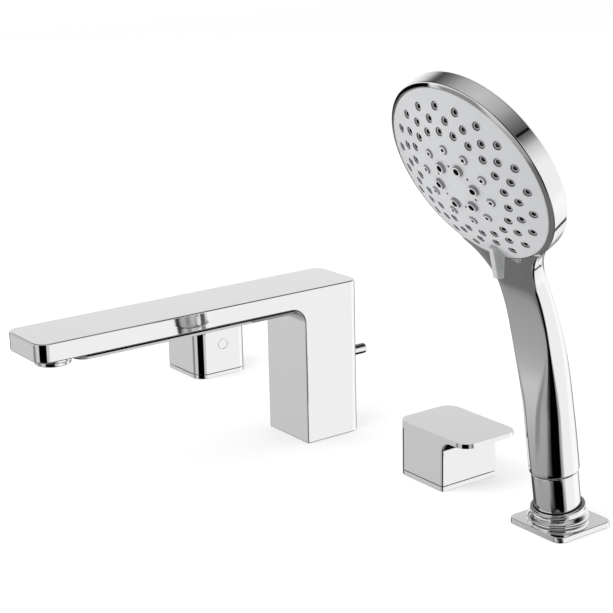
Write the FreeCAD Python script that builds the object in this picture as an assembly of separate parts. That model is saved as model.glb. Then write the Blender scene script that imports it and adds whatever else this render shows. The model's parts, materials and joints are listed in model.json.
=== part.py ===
import FreeCAD, Part
import math
import os

# A four-piece deck-mounted bath filler: a flat spout with a pull-out diverter at its back,
# a hot and a cold lever handle, and a hand shower standing in a deck holder.
# Millimetres. The deck's top is z = 0, the origin is the centre of the spout's column,
# the spout reaches toward -Y, and everything below z = 0 hangs under the deck.

# Where the other three units stand on the deck, beside the spout
unit_line_y = 16.0
hot_x = -176.3
cold_x = 132.6
holder_x = 241.7

# Clearances
running_fit = 0.05
seat_gap = 0.3
assembly_gap = 0.2

# How far a cutting tool runs past the face it cuts, or a joined piece into its neighbour
overrun = 1.0

# Deck clamping, the same on all four units
deck_thickness = 20.0
rubber_washer_thickness = 3.0
clamp_washer_thickness = 2.0
washer_margin = 5.0
nut_height = 9.0
nut_margin = 4.5
gasket_thickness = 1.0

# Half-inch pipe thread on every water connection under the deck
pipe_radius = 10.48
pipe_bore = 7.5
pipe_length = 15.0
pipe_shoulder = 2.0
pipe_shoulder_radius = 12.2

# Spout
spout_width = 50.0
column_depth = 49.0
spout_height = 117.0
arm_reach = 235.4
arm_edge_height = 13.1
arm_root_radius = 12.0
tip_radius = 9.5
column_back_radius = 8.6
sharp_edge = 1.0
spout_top_edge = 0.6
spout_wall = 3.0
belly_inset = 3.0
belly_depth = 4.3
belly_slope = 6.0
belly_front = 200.0
belly_corner = 9.0
channel_half_width = 17.0
channel_roof = 3.5
channel_floor = 2.5

# Outlet near the tip of the arm
outlet_setback = 22.0
outlet_boss_radius = 13.2
outlet_boss_drop = 5.6
aerator_radius = 12.2
aerator_thread_radius = 11.0
aerator_lip = 2.6
aerator_bore = 9.0
aerator_screen_thickness = 3.0
aerator_hole_radius = 0.9
aerator_hole_pitch = 3.6
aerator_ring_holes = 6
aerator_rings = 2
aerator_washer_thickness = 1.5
aerator_seat = 1.0
aerator_ledge = 1.0

# Spout foot, shank and the water block at its lower end
foot_height = 12.0
shank_radius = 16.62
shank_bore = 12.5
shank_length = 72.0
shank_engagement = 8.0
manifold_radius = 21.0
manifold_height = 28.0
manifold_wall = 5.0

# Diverter, on a horizontal axis through the back of the column
diverter_height = 54.0
sleeve_radius = 9.0
sleeve_bore = 6.0
sleeve_front = 14.0
tube_radius = 5.0
tube_wall = 1.0
tube_socket_wall = 2.0
sleeve_collar = 6.0
bush_radius = 6.5
bush_flange_radius = 7.5
bush_flange = 1.5
rod_radius = 3.0
rod_inner_end = 9.0
piston_length = 4.0
knob_radius = 4.1
knob_tip = 48.0
knob_length = 18.0
knob_round = 1.8
knob_socket = 12.0

# Lever handles
handle_length = 48.5
handle_width = 48.8
handle_top = 39.6
escutcheon_height = 4.0
lever_overhang = 22.5
lever_thickness = 3.2
lever_corner_radius = 9.0
lever_root_radius = 7.0
handle_corner_radius = 10.0
handle_wall = 3.2
handle_roof = 5.0
handle_edge = 1.0
handle_front_radius = 1.6
hub_radius = 9.0
hub_bottom = 21.0
spindle_radius = 4.5
spindle_top = 33.0
spindle_bottom = -60.0
cap_height = 27.4
cap_radius = 4.4
cap_thickness = 1.2
cap_stem = 1.2
cap_edge = 0.3
grub_radius = 2.5
grub_length = 6.0
hex_key = 1.3
hex_key_depth = 2.5
spindle_flat = 0.4

# Valve under each handle
valve_radius = 15.0
valve_flange_radius = 19.5
valve_flange = 1.8
cartridge_radius = 11.0
cartridge_gland_radius = 8.5
cartridge_shoulder = 11.0
cartridge_top = 18.0
cartridge_bottom = -80.0
cartridge_floor = 12.0
cartridge_window_radius = 3.5
cartridge_window_height = 6.0
cartridge_wall = 4.0
valve_neck_top = 8.0
valve_block_top = -58.0
valve_block_height = 28.0
valve_block_radius = 17.5

# Hand-shower holder
plate_side = 47.5
plate_shift = 1.9
plate_height = 3.8
plate_corner_radius = 6.0
plate_edge = 0.5
holder_gasket_inset = 4.0
holder_lean = 8.2
axis_offset = 1.0
cup_foot_radius = 18.6
cup_bulge_radius = 19.8
cup_bulge_height = 2.4
cup_shoulder_radius = 18.0
cup_shoulder_height = 4.6
cup_waist_radius = 16.9
cup_waist_tuck = 1.0
cup_waist_height = 6.8
cup_lip_radius = 17.7
cup_lip_height = 1.6
cup_lip_round = 0.6
cup_depth = 9.9
liner_wall = 0.8
holder_shank_radius = 13.22
holder_shank_bore = 9.0
holder_shank_engagement = 2.0

# Conical hose nut that stands in the cup
cone_radius = 15.0
cone_foot_radius = 10.4
cone_foot = 4.6
cone_taper_length = 6.0
cone_top = 34.2
cone_socket_depth = 14.0
hose_bore = 4.0
nipple_radius = 5.5
nipple_length = 16.0
nipple_ribs = 4
nipple_rib_depth = 0.7
nipple_neck = 2.0
nipple_collar = 2.0
nipple_collar_gap = 1.0
hose_washer_thickness = 1.5

# Handset: handle path, sections and head
joint_gap = 0.8
grip_radius = 15.9
grip_foot_bevel = 0.9
head_lean = 27.4
head_forward = 75.75
head_height = 237.63
head_radius = 62.2
head_wall_depth = 10.1
head_back_depth = 16.1
head_back_radius = 30.0
head_back_edge = 2.0
neck_half_width = 16.8
neck_blend_radius = 40.0
neck_depth = 15.0
round_until = 0.3
edged_from = 0.75
grip_steps = 18
neck_edge_radius = 2.5
neck_forward = 1.9
neck_lean = 24.5
neck_station = 82.5
head_cavity_depth = 7.0
inlet_radius = 10.4
inlet_length = 12.0
hub_post_radius = 8.0
hub_post_length = 12.0
hub_post_bore = 2.5
grip_bore = 6.0
neck_bore = 2.8
back_channel_cover = 0.8

# Spray face, inside a sloping bezel on the rim of the head
plate_radius = 59.7
bezel_height = 1.5
plate_proud = 2.0
dome_rise = 11.7
plate_wall = 2.2
plate_boss_radius = 13.0
plate_boss_depth = 6.0
nozzle_root = 1.5
jet_bore = 0.6
spray_ring_radii = (35.8, 43.2, 50.6)
spray_ring_count = 20
spray_radius = 2.8
spray_bore = 1.5
spray_sink = 0.7
mist_ring_radius = 24.8
mist_count = 10
mist_base_radius = 3.1
mist_tip_radius = 2.1
mist_height = 1.0
massage_ring_radius = 14.3
massage_count = 6
massage_base_radius = 3.7
massage_tip_radius = 3.0
massage_height = 2.6
massage_bore = 2.2
massage_foot = 0.3
air_hole_radius = 0.8
tab_width = 4.3
tab_root = 48.0
tab_root_rise = 8.2
tab_reach = 67.0
tab_rise = 13.4
tab_back_reach = 70.0
tab_back_rise = 9.0
tab_foot = 57.6
tab_round = 1.2

vector = FreeCAD.Vector
origin = vector(0, 0, 0)
along_x = vector(1, 0, 0)
along_y = vector(0, 1, 0)
along_z = vector(0, 0, 1)


def write(name, shape):
    shape.exportStep(os.path.join("parts", name + ".step"))


def moved(shape, x=0.0, y=0.0, z=0.0):
    copy = shape.copy()
    copy.translate(vector(x, y, z))
    return copy


def turned(points):
    # A closed outline of (radius, height) pairs, turned round the Z axis
    corners = [vector(radius, 0, height) for radius, height in points]
    face = Part.Face(Part.makePolygon(corners + corners[:1]))
    return face.revolve(origin, along_z, 360)


def rod(radius, low, high):
    return Part.makeCylinder(radius, high - low, vector(0, 0, low))


def ring(outer, inner, low, high):
    return rod(outer, low, high).cut(rod(inner, low - overrun, high + overrun))


def lying_along(shape, direction):
    # Turns a shape built round Z so that its +Z end points along the direction
    copy = shape.copy()
    copy.Placement = FreeCAD.Placement(origin, FreeCAD.Rotation(along_z, direction))
    return copy


def rounded_outline(x_low, x_high, y_low, y_high, radii, height=0.0):
    # Corner radii in turn: (x_high, y_low), (x_high, y_high), (x_low, y_high), (x_low, y_low)
    corners = ((x_high, y_low, -1, 1), (x_high, y_high, -1, -1), (x_low, y_high, 1, -1), (x_low, y_low, 1, 1))
    arcs = []
    for index, (x, y, inward_x, inward_y) in enumerate(corners):
        radius = radii[index]
        centre = vector(x + inward_x * radius, y + inward_y * radius, height)
        start = -90 + 90 * index
        arcs.append([centre + vector(math.cos(math.radians(start + turn)) * radius,
                                     math.sin(math.radians(start + turn)) * radius, 0)
                     for turn in (0, 45, 90)])
    edges = []
    for index, points in enumerate(arcs):
        edges.append(Part.Arc(*points).toShape())
        following = arcs[(index + 1) % 4][0]
        if points[2].distanceToPoint(following) > 1e-6:
            edges.append(Part.LineSegment(points[2], following).toShape())
    return Part.Wire(edges)


def block(x_low, x_high, y_low, y_high, z_low, z_high, radii):
    outline = rounded_outline(x_low, x_high, y_low, y_high, radii, z_low)
    return Part.Face(outline).extrude(vector(0, 0, z_high - z_low))


def rim_edges(shape, height):
    # The edges that lie flat at this height
    return [edge for edge in shape.Edges
            if abs(edge.BoundBox.ZMin - height) < 1e-4 and abs(edge.BoundBox.ZMax - height) < 1e-4]


def hexagon_prism(corner, low, high):
    points = [vector(corner * math.cos(math.radians(60 * k)), corner * math.sin(math.radians(60 * k)), low)
              for k in range(7)]
    return Part.Face(Part.makePolygon(points)).extrude(vector(0, 0, high - low))


def hexagon_nut(thread_radius, low, high):
    # Across flats follows the thread; the corners are chamfered at both ends
    flat = thread_radius + nut_margin
    corner = flat / math.cos(math.pi / 6)
    prism = hexagon_prism(corner, low, high)
    bevel = corner - flat
    blank = turned([(0, low), (flat, low), (corner, low + bevel), (corner, high - bevel), (flat, high),
                    (0, high)])
    return prism.common(blank).cut(rod(thread_radius, low - overrun, high + overrun))


def deck_clamp(name, thread_radius, x, y):
    # Rubber washer, metal washer and lock nut that pull a unit down onto the deck from below
    top = -deck_thickness
    rubber_low = top - rubber_washer_thickness
    steel_low = rubber_low - clamp_washer_thickness
    nut_low = steel_low - nut_height
    outer = thread_radius + nut_margin + washer_margin
    hole = thread_radius + assembly_gap
    write(name + "_rubber_washer", moved(ring(outer, hole, rubber_low, top), x, y))
    write(name + "_clamp_washer", moved(ring(outer, hole, steel_low, rubber_low), x, y))
    write(name + "_lock_nut", moved(hexagon_nut(thread_radius, nut_low, steel_low), x, y))


# Spout

half_spout = spout_width / 2
half_depth = column_depth / 2
arm_bottom = spout_height - arm_edge_height
belly_bottom = arm_bottom - belly_depth
outlet_y = -(arm_reach - outlet_setback)
boss_bottom = arm_bottom - outlet_boss_drop


def spout_side_profile():
    # The side view in the YZ plane: column, arm and the round inside corner between them
    face_y = -half_depth
    root = arm_root_radius
    centre = vector(0, face_y - root, arm_bottom - root)
    middle = centre + vector(0, root * math.sin(math.pi / 4), root * math.cos(math.pi / 4))
    underside_start = vector(0, face_y - root, arm_bottom)
    front_start = vector(0, face_y, arm_bottom - root)
    corners = [underside_start, vector(0, -arm_reach, arm_bottom), vector(0, -arm_reach, spout_height),
               vector(0, half_depth, spout_height), vector(0, half_depth, 0), vector(0, face_y, 0),
               front_start]
    edges = [Part.LineSegment(a, b).toShape() for a, b in zip(corners, corners[1:])]
    edges.append(Part.Arc(front_start, middle, underside_start).toShape())
    return Part.Face(Part.Wire(edges))


def spout_blank():
    body = moved(spout_side_profile(), -half_spout).extrude(vector(spout_width, 0, 0))
    plan = block(-half_spout, half_spout, -arm_reach, half_depth, 0, spout_height,
                 (tip_radius, column_back_radius, column_back_radius, tip_radius))
    body = body.common(plan)
    return body.makeFillet(spout_top_edge, rim_edges(body, spout_height))


def spout_belly():
    # The shallow keel under the arm, its sides and front sloping in toward its flat bottom
    top_half = half_spout - belly_inset
    bottom_half = top_half - belly_slope
    root_y = -half_depth
    top = rounded_outline(-top_half, top_half, -belly_front, root_y,
                          (belly_corner, sharp_edge, sharp_edge, belly_corner), arm_bottom)
    bottom = rounded_outline(-bottom_half, bottom_half, belly_slope - belly_front, root_y,
                             (belly_corner, sharp_edge, sharp_edge, belly_corner), belly_bottom)
    return Part.makeLoft([bottom, top], True)


def spout_body():
    body = spout_blank().fuse(spout_belly())
    body = body.fuse(moved(rod(outlet_boss_radius, boss_bottom, arm_bottom), 0, outlet_y))
    wall = spout_wall
    cavity = block(-half_spout + wall, half_spout - wall, -half_depth + wall, half_depth - wall,
                   -overrun, spout_height - channel_roof,
                   (sharp_edge, column_back_radius - wall, column_back_radius - wall, sharp_edge))
    end_round = channel_half_width - sharp_edge
    channel = block(-channel_half_width, channel_half_width, outlet_y - channel_half_width, 0,
                    arm_bottom + channel_floor, spout_height - channel_roof,
                    (end_round, sharp_edge, sharp_edge, end_round))
    outlet = rod(aerator_thread_radius, boss_bottom - overrun, arm_bottom + aerator_seat)
    outlet = outlet.fuse(rod(aerator_bore - aerator_ledge, boss_bottom, spout_height - channel_roof))
    outlet = moved(outlet, 0, outlet_y)
    bush_hole = lying_along(rod(bush_radius, half_depth - 1.5 * wall, half_depth + overrun), along_y)
    bush_hole = moved(bush_hole, 0, 0, diverter_height)
    for tool in (cavity, channel, outlet, bush_hole):
        body = body.cut(tool)
    return body.removeSplitter()


def aerator():
    # A threaded ring, its jet screen and the washer that seals it up against the channel
    lip_bottom = boss_bottom - aerator_lip
    thread_top = arm_bottom + aerator_seat - aerator_washer_thickness
    screen_top = thread_top - aerator_ledge
    ledge_bore = aerator_bore - aerator_ledge
    housing = turned([(aerator_bore, lip_bottom), (aerator_radius - sharp_edge / 2, lip_bottom),
                      (aerator_radius, lip_bottom + sharp_edge / 2), (aerator_radius, boss_bottom),
                      (aerator_thread_radius, boss_bottom), (aerator_thread_radius, thread_top),
                      (ledge_bore, thread_top), (ledge_bore, screen_top), (aerator_bore, screen_top)])
    write("aerator_housing", moved(housing, 0, outlet_y))
    screen = rod(aerator_bore, screen_top - aerator_screen_thickness, screen_top)
    holes = [rod(aerator_hole_radius, lip_bottom, thread_top)]
    for circle in range(1, aerator_rings + 1):
        count = aerator_ring_holes * circle
        for k in range(count):
            turn = 2 * math.pi * k / count
            reach = aerator_hole_pitch * circle
            holes.append(moved(holes[0], reach * math.cos(turn), reach * math.sin(turn)))
    write("aerator_screen", moved(screen.cut(Part.Compound(holes)), 0, outlet_y))
    washer = ring(aerator_thread_radius, ledge_bore, thread_top, thread_top + aerator_washer_thickness)
    write("aerator_washer", moved(washer, 0, outlet_y))


def spout_base():
    wall = spout_wall
    inner = (-half_spout + wall, half_spout - wall, -half_depth + wall, half_depth - wall)
    radii = (sharp_edge, column_back_radius - wall, column_back_radius - wall, sharp_edge)
    foot_low = gasket_thickness
    foot_top = foot_low + foot_height
    pocket_top = foot_low + shank_engagement
    gasket = block(*inner, 0, foot_low, radii)
    write("spout_base_gasket", gasket.cut(rod(shank_radius + seat_gap, -overrun, foot_low + overrun)))
    foot = block(*inner, foot_low, foot_top, radii).cut(rod(shank_radius, 0, pocket_top))
    ways = [rod(tube_radius, 0, foot_top + overrun)]
    # Water rises round the middle tube through a ring of ports
    port_reach = (tube_radius + shank_bore) / 2
    port_radius = (shank_bore - tube_radius - tube_socket_wall) / 2
    port = rod(port_radius, 0, foot_top + overrun)
    for k in range(6):
        turn = math.pi * k / 3
        ways.append(moved(port, port_reach * math.cos(turn), port_reach * math.sin(turn)))
    write("spout_foot", foot.cut(Part.Compound(ways)))
    shank_low = pocket_top - shank_length
    write("spout_shank", ring(shank_radius, shank_bore, shank_low, pocket_top))
    deck_clamp("spout", shank_radius, 0, 0)
    return shank_low


def spout_manifold(seat):
    # Screwed onto the shank: mixed water enters from below, the hand-shower feed leaves sideways
    top = seat + shank_engagement
    low = top - manifold_height
    floor = low + manifold_wall
    side_height = (floor + seat) / 2
    softened = manifold_radius - sharp_edge
    outer = turned([(0, low), (softened, low), (manifold_radius, low + sharp_edge),
                    (manifold_radius, top - sharp_edge), (softened, top), (0, top)])
    shoulder_reach = manifold_radius + pipe_shoulder
    side_reach = shoulder_reach + pipe_length

    def sideways(radius, reach):
        return moved(lying_along(rod(radius, 0, reach), along_x), 0, 0, side_height)

    body = outer.fuse(rod(pipe_radius, low - pipe_length, low)).fuse(sideways(pipe_radius, side_reach))
    body = body.fuse(sideways(pipe_shoulder_radius, shoulder_reach))
    body = body.cut(rod(shank_bore, floor, top)).cut(rod(shank_radius, seat, top + overrun))
    # The inlet steps sideways in the floor, to open beside the socket of the middle tube
    inlet_top = low + manifold_wall / 2
    inlet_offset = shank_bore - pipe_bore / 2
    body = body.cut(rod(pipe_bore, low - pipe_length - overrun, inlet_top))
    body = body.cut(moved(rod(pipe_bore / 2, inlet_top - overrun, floor + overrun), 0, inlet_offset))
    socket = tube_radius + tube_socket_wall
    feed_wall = sideways(tube_radius + tube_wall, manifold_radius).common(rod(softened, low, top))
    body = body.fuse(rod(socket, floor, side_height + socket)).fuse(feed_wall)
    body = body.cut(sideways(tube_radius - tube_wall, side_reach + overrun))
    body = body.cut(rod(tube_radius, side_height, top))
    write("spout_manifold", body.removeSplitter())
    return side_height


def diverter(tube_low):
    def lengthwise(shape):
        return moved(lying_along(shape, along_y), 0, 0, diverter_height)

    sleeve_back = half_depth - spout_wall
    tube = ring(tube_radius, tube_radius - tube_wall, tube_low, diverter_height)
    across = lengthwise(rod(sleeve_bore, -sleeve_front - overrun, sleeve_back + overrun))
    write("diverter_tube", tube.cut(across))
    sleeve = lengthwise(ring(sleeve_radius, sleeve_bore, -sleeve_front, sleeve_back))
    collar_low = diverter_height - sleeve_radius - sleeve_collar
    collar = rod(tube_radius + tube_socket_wall, collar_low, diverter_height)
    # Side windows let the mixed water into the sleeve above the tube
    window = lying_along(rod(sleeve_bore / 2, -sleeve_radius - overrun, sleeve_radius + overrun), along_x)
    sleeve = sleeve.fuse(collar.cut(across)).cut(rod(tube_radius, 0, diverter_height))
    write("diverter_sleeve", sleeve.cut(moved(window, 0, -sleeve_front / 2, diverter_height)))
    flange_top = half_depth + bush_flange
    bush_bore = rod_radius + running_fit
    bush = turned([(bush_bore, sleeve_back), (bush_radius, sleeve_back), (bush_radius, half_depth),
                   (bush_flange_radius, half_depth), (bush_flange_radius - sharp_edge / 2, flange_top),
                   (bush_bore, flange_top)])
    write("diverter_bush", lengthwise(bush))
    knob_low = knob_tip - knob_length
    socket_end = knob_low + knob_socket
    write("diverter_rod", lengthwise(rod(rod_radius, -rod_inner_end, socket_end)))
    piston = ring(sleeve_bore - seat_gap, rod_radius, -rod_inner_end, -rod_inner_end + piston_length)
    write("diverter_piston", lengthwise(piston))
    knob = rod(knob_radius, knob_low, knob_tip)
    knob = knob.makeFillet(knob_round, rim_edges(knob, knob_tip))
    write("diverter_knob", lengthwise(knob.cut(rod(rod_radius, knob_low - overrun, socket_end))))


def spout():
    write("spout_body", spout_body())
    aerator()
    tube_low = spout_manifold(spout_base())
    diverter(tube_low)


# Lever handles. Each is built for a lever on the +X side and mirrored for the other hand.

half_handle = handle_length / 2
half_handle_width = handle_width / 2


def handed(shape, side, x):
    copy = shape if side > 0 else shape.mirror(origin, along_x)
    return moved(copy, x, unit_line_y)


def handle_plan(low, high, inset=0.0):
    soft = handle_corner_radius - inset
    along = half_handle - inset
    across = half_handle_width - inset
    front = handle_front_radius
    return block(-along, along, -across, across, low, high, (front, front, soft, soft))


def lever_handle():
    plate_low = handle_top - lever_thickness
    lever_end = half_handle + lever_overhang
    top = block(-half_handle, lever_end, -half_handle_width, half_handle_width, plate_low, handle_top,
                (lever_corner_radius, lever_corner_radius, handle_corner_radius, handle_corner_radius))
    body = handle_plan(escutcheon_height, plate_low)
    # The round inside corner under the lever
    root = lever_root_radius
    start = vector(half_handle, -half_handle_width + handle_front_radius, plate_low)
    low_point = start - vector(0, 0, root)
    far_point = start + vector(root, 0, 0)
    centre = start + vector(root, 0, -root)
    middle = centre + vector(-root * math.sin(math.pi / 4), 0, root * math.cos(math.pi / 4))
    web_face = Part.Face(Part.Wire([Part.LineSegment(start, low_point).toShape(),
                                    Part.Arc(low_point, middle, far_point).toShape(),
                                    Part.LineSegment(far_point, start).toShape()]))
    web = web_face.extrude(vector(0, handle_width - 2 * handle_front_radius, 0))
    body = body.fuse(web).fuse(top)
    body = body.removeSplitter()
    body = body.makeFillet(handle_edge, rim_edges(body, handle_top))
    ceiling = handle_top - handle_roof
    cavity = handle_plan(escutcheon_height - overrun, ceiling, handle_wall)
    body = body.cut(cavity).fuse(rod(hub_radius, hub_bottom, ceiling + overrun))
    body = body.cut(rod(spindle_radius, 0, spindle_top))
    body = body.cut(away_from_lever(rod(grub_radius, 0, half_handle)))
    cap_floor = half_handle - cap_thickness
    return body.cut(away_from_lever(rod(cap_radius + assembly_gap, cap_floor, half_handle + overrun)))


def away_from_lever(shape):
    # Lays a piece built round Z along the index cap's axis, out of the side opposite the lever
    return moved(lying_along(shape, along_x * -1), 0, 0, cap_height)


def handle_unit(name, side, x):
    write(name + "_handle", handed(lever_handle(), side, x))
    cap_floor = half_handle - cap_thickness
    cap = rod(cap_radius, cap_floor, half_handle)
    cap = cap.makeFillet(cap_edge, rim_edges(cap, half_handle))
    cap = cap.fuse(rod(grub_radius, cap_floor - cap_stem, cap_floor))
    write(name + "_index_cap", handed(away_from_lever(cap), side, x))
    # The grub screw bites on a flat of the spindle
    bite = spindle_radius - spindle_flat
    grub_end = spindle_radius + grub_length
    grub = rod(grub_radius, bite, grub_end)
    grub = grub.cut(hexagon_prism(hex_key, grub_end - hex_key_depth, grub_end + overrun))
    write(name + "_grub_screw", handed(away_from_lever(grub), side, x))
    flat = Part.makeBox(spindle_radius, 2 * spindle_radius, spindle_top - hub_bottom,
                        vector(-bite - spindle_radius, -spindle_radius, hub_bottom))
    write(name + "_spindle", handed(rod(spindle_radius, spindle_bottom, spindle_top).cut(flat), side, x))


def valve_unit(name, side, x):
    top = escutcheon_height - seat_gap
    flange_low = gasket_thickness
    flange_top = flange_low + valve_flange
    cover = handle_plan(0, top)
    cover = cover.cut(rod(valve_flange_radius + seat_gap, -overrun, flange_top))
    cover = cover.cut(rod(valve_radius + seat_gap, 0, top + overrun))
    write(name + "_escutcheon", handed(cover, side, x))
    write(name + "_gasket", handed(ring(valve_flange_radius, valve_radius, 0, flange_low), side, x))
    block_low = valve_block_top - valve_block_height
    nipple_low = block_low - pipe_length
    side_height = (valve_block_top + block_low) / 2
    shoulder_reach = valve_block_radius + pipe_shoulder
    side_reach = shoulder_reach + pipe_length
    softened = valve_block_radius - sharp_edge
    body = turned([(0, block_low), (softened, block_low), (valve_block_radius, block_low + sharp_edge),
                   (valve_block_radius, valve_block_top - sharp_edge), (softened, valve_block_top),
                   (valve_radius, valve_block_top), (valve_radius, flange_low),
                   (valve_flange_radius, flange_low), (valve_flange_radius, flange_top),
                   (valve_radius, flange_top), (valve_radius, valve_neck_top), (0, valve_neck_top)])

    def rearward(radius, reach, height):
        return moved(lying_along(rod(radius, 0, reach), along_y), 0, 0, height)

    # Water comes up into the foot of the cartridge and leaves through its window to the rear
    body = body.fuse(rod(pipe_radius, nipple_low, block_low))
    body = body.fuse(rearward(pipe_shoulder_radius, shoulder_reach, side_height))
    body = body.fuse(rearward(pipe_radius, side_reach, side_height))
    body = body.cut(rod(cartridge_radius, cartridge_bottom, valve_neck_top + overrun))
    body = body.cut(rod(pipe_bore, nipple_low - overrun, cartridge_bottom + overrun))
    body = body.cut(rearward(pipe_bore, side_reach + overrun, side_height))
    write(name + "_valve_body", handed(body.removeSplitter(), side, x))
    collar = valve_radius - sharp_edge
    bore = cartridge_radius - cartridge_wall
    floor = cartridge_bottom + cartridge_floor
    stem_bore = spindle_radius + running_fit
    stem_floor = spindle_bottom - seat_gap
    cartridge = turned([(bore, cartridge_bottom), (cartridge_radius, cartridge_bottom),
                        (cartridge_radius, valve_neck_top), (collar, valve_neck_top),
                        (collar, cartridge_shoulder), (cartridge_gland_radius, cartridge_shoulder),
                        (cartridge_gland_radius, cartridge_top),
                        (stem_bore, cartridge_top), (stem_bore, stem_floor), (0, stem_floor), (0, floor),
                        (bore, floor)])
    window = rearward(cartridge_window_radius, cartridge_radius + overrun,
                      cartridge_bottom + cartridge_window_height)
    write(name + "_cartridge", handed(cartridge.cut(window), side, x))
    deck_clamp(name, valve_radius, x, unit_line_y)


# Hand-shower holder and the hose nut. Leaning pieces are built round Z, with their
# height measured up the leaning axis from the top of the holder plate.

def leaning(shape):
    copy = shape.copy()
    turn = FreeCAD.Rotation(along_x, holder_lean)
    copy.Placement = FreeCAD.Placement(vector(holder_x, unit_line_y + axis_offset, plate_height), turn)
    return copy


def cup_foot():
    # The bulging foot of the cup stands upright on the plate and tucks in under the leaning waist
    side = Part.BSplineCurve()
    side.interpolate([vector(cup_foot_radius, 0, 0), vector(cup_bulge_radius, 0, cup_bulge_height),
                      vector(cup_shoulder_radius, 0, cup_shoulder_height),
                      vector(cup_waist_radius - cup_waist_tuck, 0, cup_waist_height)])
    top = vector(0, 0, cup_waist_height)
    outline = Part.Wire([side.toShape(), Part.LineSegment(side.EndPoint, top).toShape(),
                         Part.LineSegment(top, origin).toShape(),
                         Part.LineSegment(origin, side.StartPoint).toShape()])
    return Part.Face(outline).revolve(origin, along_z, 360)


def cone_outline(gap=0.0):
    # Outside of the hose nut; the liner takes the same outline moved out by its clearance
    taper_top = cone_foot + cone_taper_length
    return [(0, cone_foot), (cone_foot_radius + gap, cone_foot), (cone_radius + gap, taper_top),
            (cone_radius + gap, cone_top), (0, cone_top)]


def holder():
    def standing(shape, height=0.0):
        return moved(shape, holder_x, unit_line_y, height)

    # The plate sits a little off the cup's middle
    side = plate_side / 2
    inner = side - holder_gasket_inset
    corners = (plate_corner_radius,) * 4
    plate = block(plate_shift - side, plate_shift + side, -side, side, 0, plate_height, corners)
    plate = plate.makeFillet(plate_edge, rim_edges(plate, plate_height))
    gasket = block(plate_shift - inner, plate_shift + inner, -inner, inner, 0, gasket_thickness, corners)
    hole = rod(holder_shank_radius + assembly_gap, -overrun, plate_height + overrun)
    write("holder_plate", standing(plate.cut(gasket).cut(hole)))
    write("holder_gasket", standing(gasket.cut(hole)))

    cup = standing(cup_foot(), plate_height)
    cup = cup.fuse(leaning(rod(cup_waist_radius, cup_shoulder_height, cup_depth - cup_lip_height / 2)))
    lip_low = cup_depth - cup_lip_height
    lip = rod(cup_lip_radius, lip_low, cup_depth)
    lip = lip.makeFillet(cup_lip_round, rim_edges(lip, cup_depth) + rim_edges(lip, lip_low))
    cup = cup.fuse(leaning(lip))
    liner_gap = seat_gap + liner_wall
    liner_foot = cone_foot - liner_wall
    well = turned([(0, liner_foot), (cone_foot_radius + liner_gap, liner_foot)] + cone_outline(liner_gap)[1:])
    hose_way = rod(holder_shank_bore, -2 * plate_height, cone_foot + overrun)
    shank_top = plate_height + holder_shank_engagement
    cup = cup.cut(leaning(well)).cut(leaning(hose_way))
    cup = cup.cut(standing(rod(holder_shank_bore, -overrun, cone_foot), plate_height))
    write("holder_cup", cup.cut(standing(rod(holder_shank_radius, 0, shank_top))))

    liner = well.cut(turned(cone_outline(seat_gap))).common(rod(cone_radius * 2, 0, cup_depth))
    write("holder_liner", leaning(liner.cut(hose_way)))
    write("holder_shank", standing(ring(holder_shank_radius, holder_shank_bore, -shank_length, shank_top)))
    deck_clamp("holder", holder_shank_radius, holder_x, unit_line_y)


def hose_nut():
    socket_radius = inlet_radius + running_fit
    socket_low = cone_top - cone_socket_depth
    nut = turned(cone_outline()).cut(rod(socket_radius, socket_low, cone_top + overrun))
    write("hose_cone", leaning(nut.cut(rod(nipple_radius, 0, socket_low + overrun))))
    tail_low = cone_foot - nipple_length
    waist = nipple_radius - nipple_rib_depth
    pitch = (nipple_length - nipple_neck) / nipple_ribs
    profile = [(hose_bore, tail_low)]
    for k in range(nipple_ribs):
        low = tail_low + k * pitch
        barb = low + pitch - nipple_rib_depth
        profile += [(waist, low), (nipple_radius, barb), (waist, barb)]
    neck = cone_foot - nipple_neck
    collar_top = socket_low + nipple_collar
    collar = socket_radius - nipple_collar_gap
    profile += [(waist, neck), (nipple_radius, neck), (nipple_radius, socket_low), (collar, socket_low),
                (collar, collar_top), (hose_bore, collar_top)]
    write("hose_nipple", leaning(turned(profile)))
    washer_top = collar_top + hose_washer_thickness
    write("hose_washer", leaning(ring(socket_radius - seat_gap, hose_bore, collar_top, washer_top)))
    return washer_top


# Handset. The head is built round Z, facing +Z, with +Y up the face, then leaned into place.

def on_head(shape):
    copy = shape.copy()
    turn = FreeCAD.Rotation(along_x, 90 + head_lean)
    copy.Placement = FreeCAD.Placement(vector(holder_x, unit_line_y - head_forward, head_height), turn)
    return copy


def head_point(across, down, out):
    lean = math.radians(head_lean)
    return vector(holder_x + across,
                  unit_line_y - head_forward + down * math.sin(lean) - out * math.cos(lean),
                  head_height - down * math.cos(lean) - out * math.sin(lean))


def grip_section(centre, lean_degrees, half_width, depth, front_radius, back_radius):
    # A rounded section square to the handle's path: flat front with tight corners, round back
    outline = rounded_outline(-half_width, half_width, -depth / 2, depth / 2,
                              (front_radius, back_radius, back_radius, front_radius))
    outline.Placement = FreeCAD.Placement(centre, FreeCAD.Rotation(along_x, lean_degrees))
    return outline


def neck_half_width_at(down):
    # Two arcs sweep the neck's sides out into the rim of the head
    centre_x = neck_half_width + neck_blend_radius
    centre_down = math.sqrt((head_radius + neck_blend_radius) ** 2 - centre_x ** 2)
    if down >= centre_down:
        return neck_half_width
    return centre_x - math.sqrt(neck_blend_radius ** 2 - (centre_down - down) ** 2)


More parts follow.
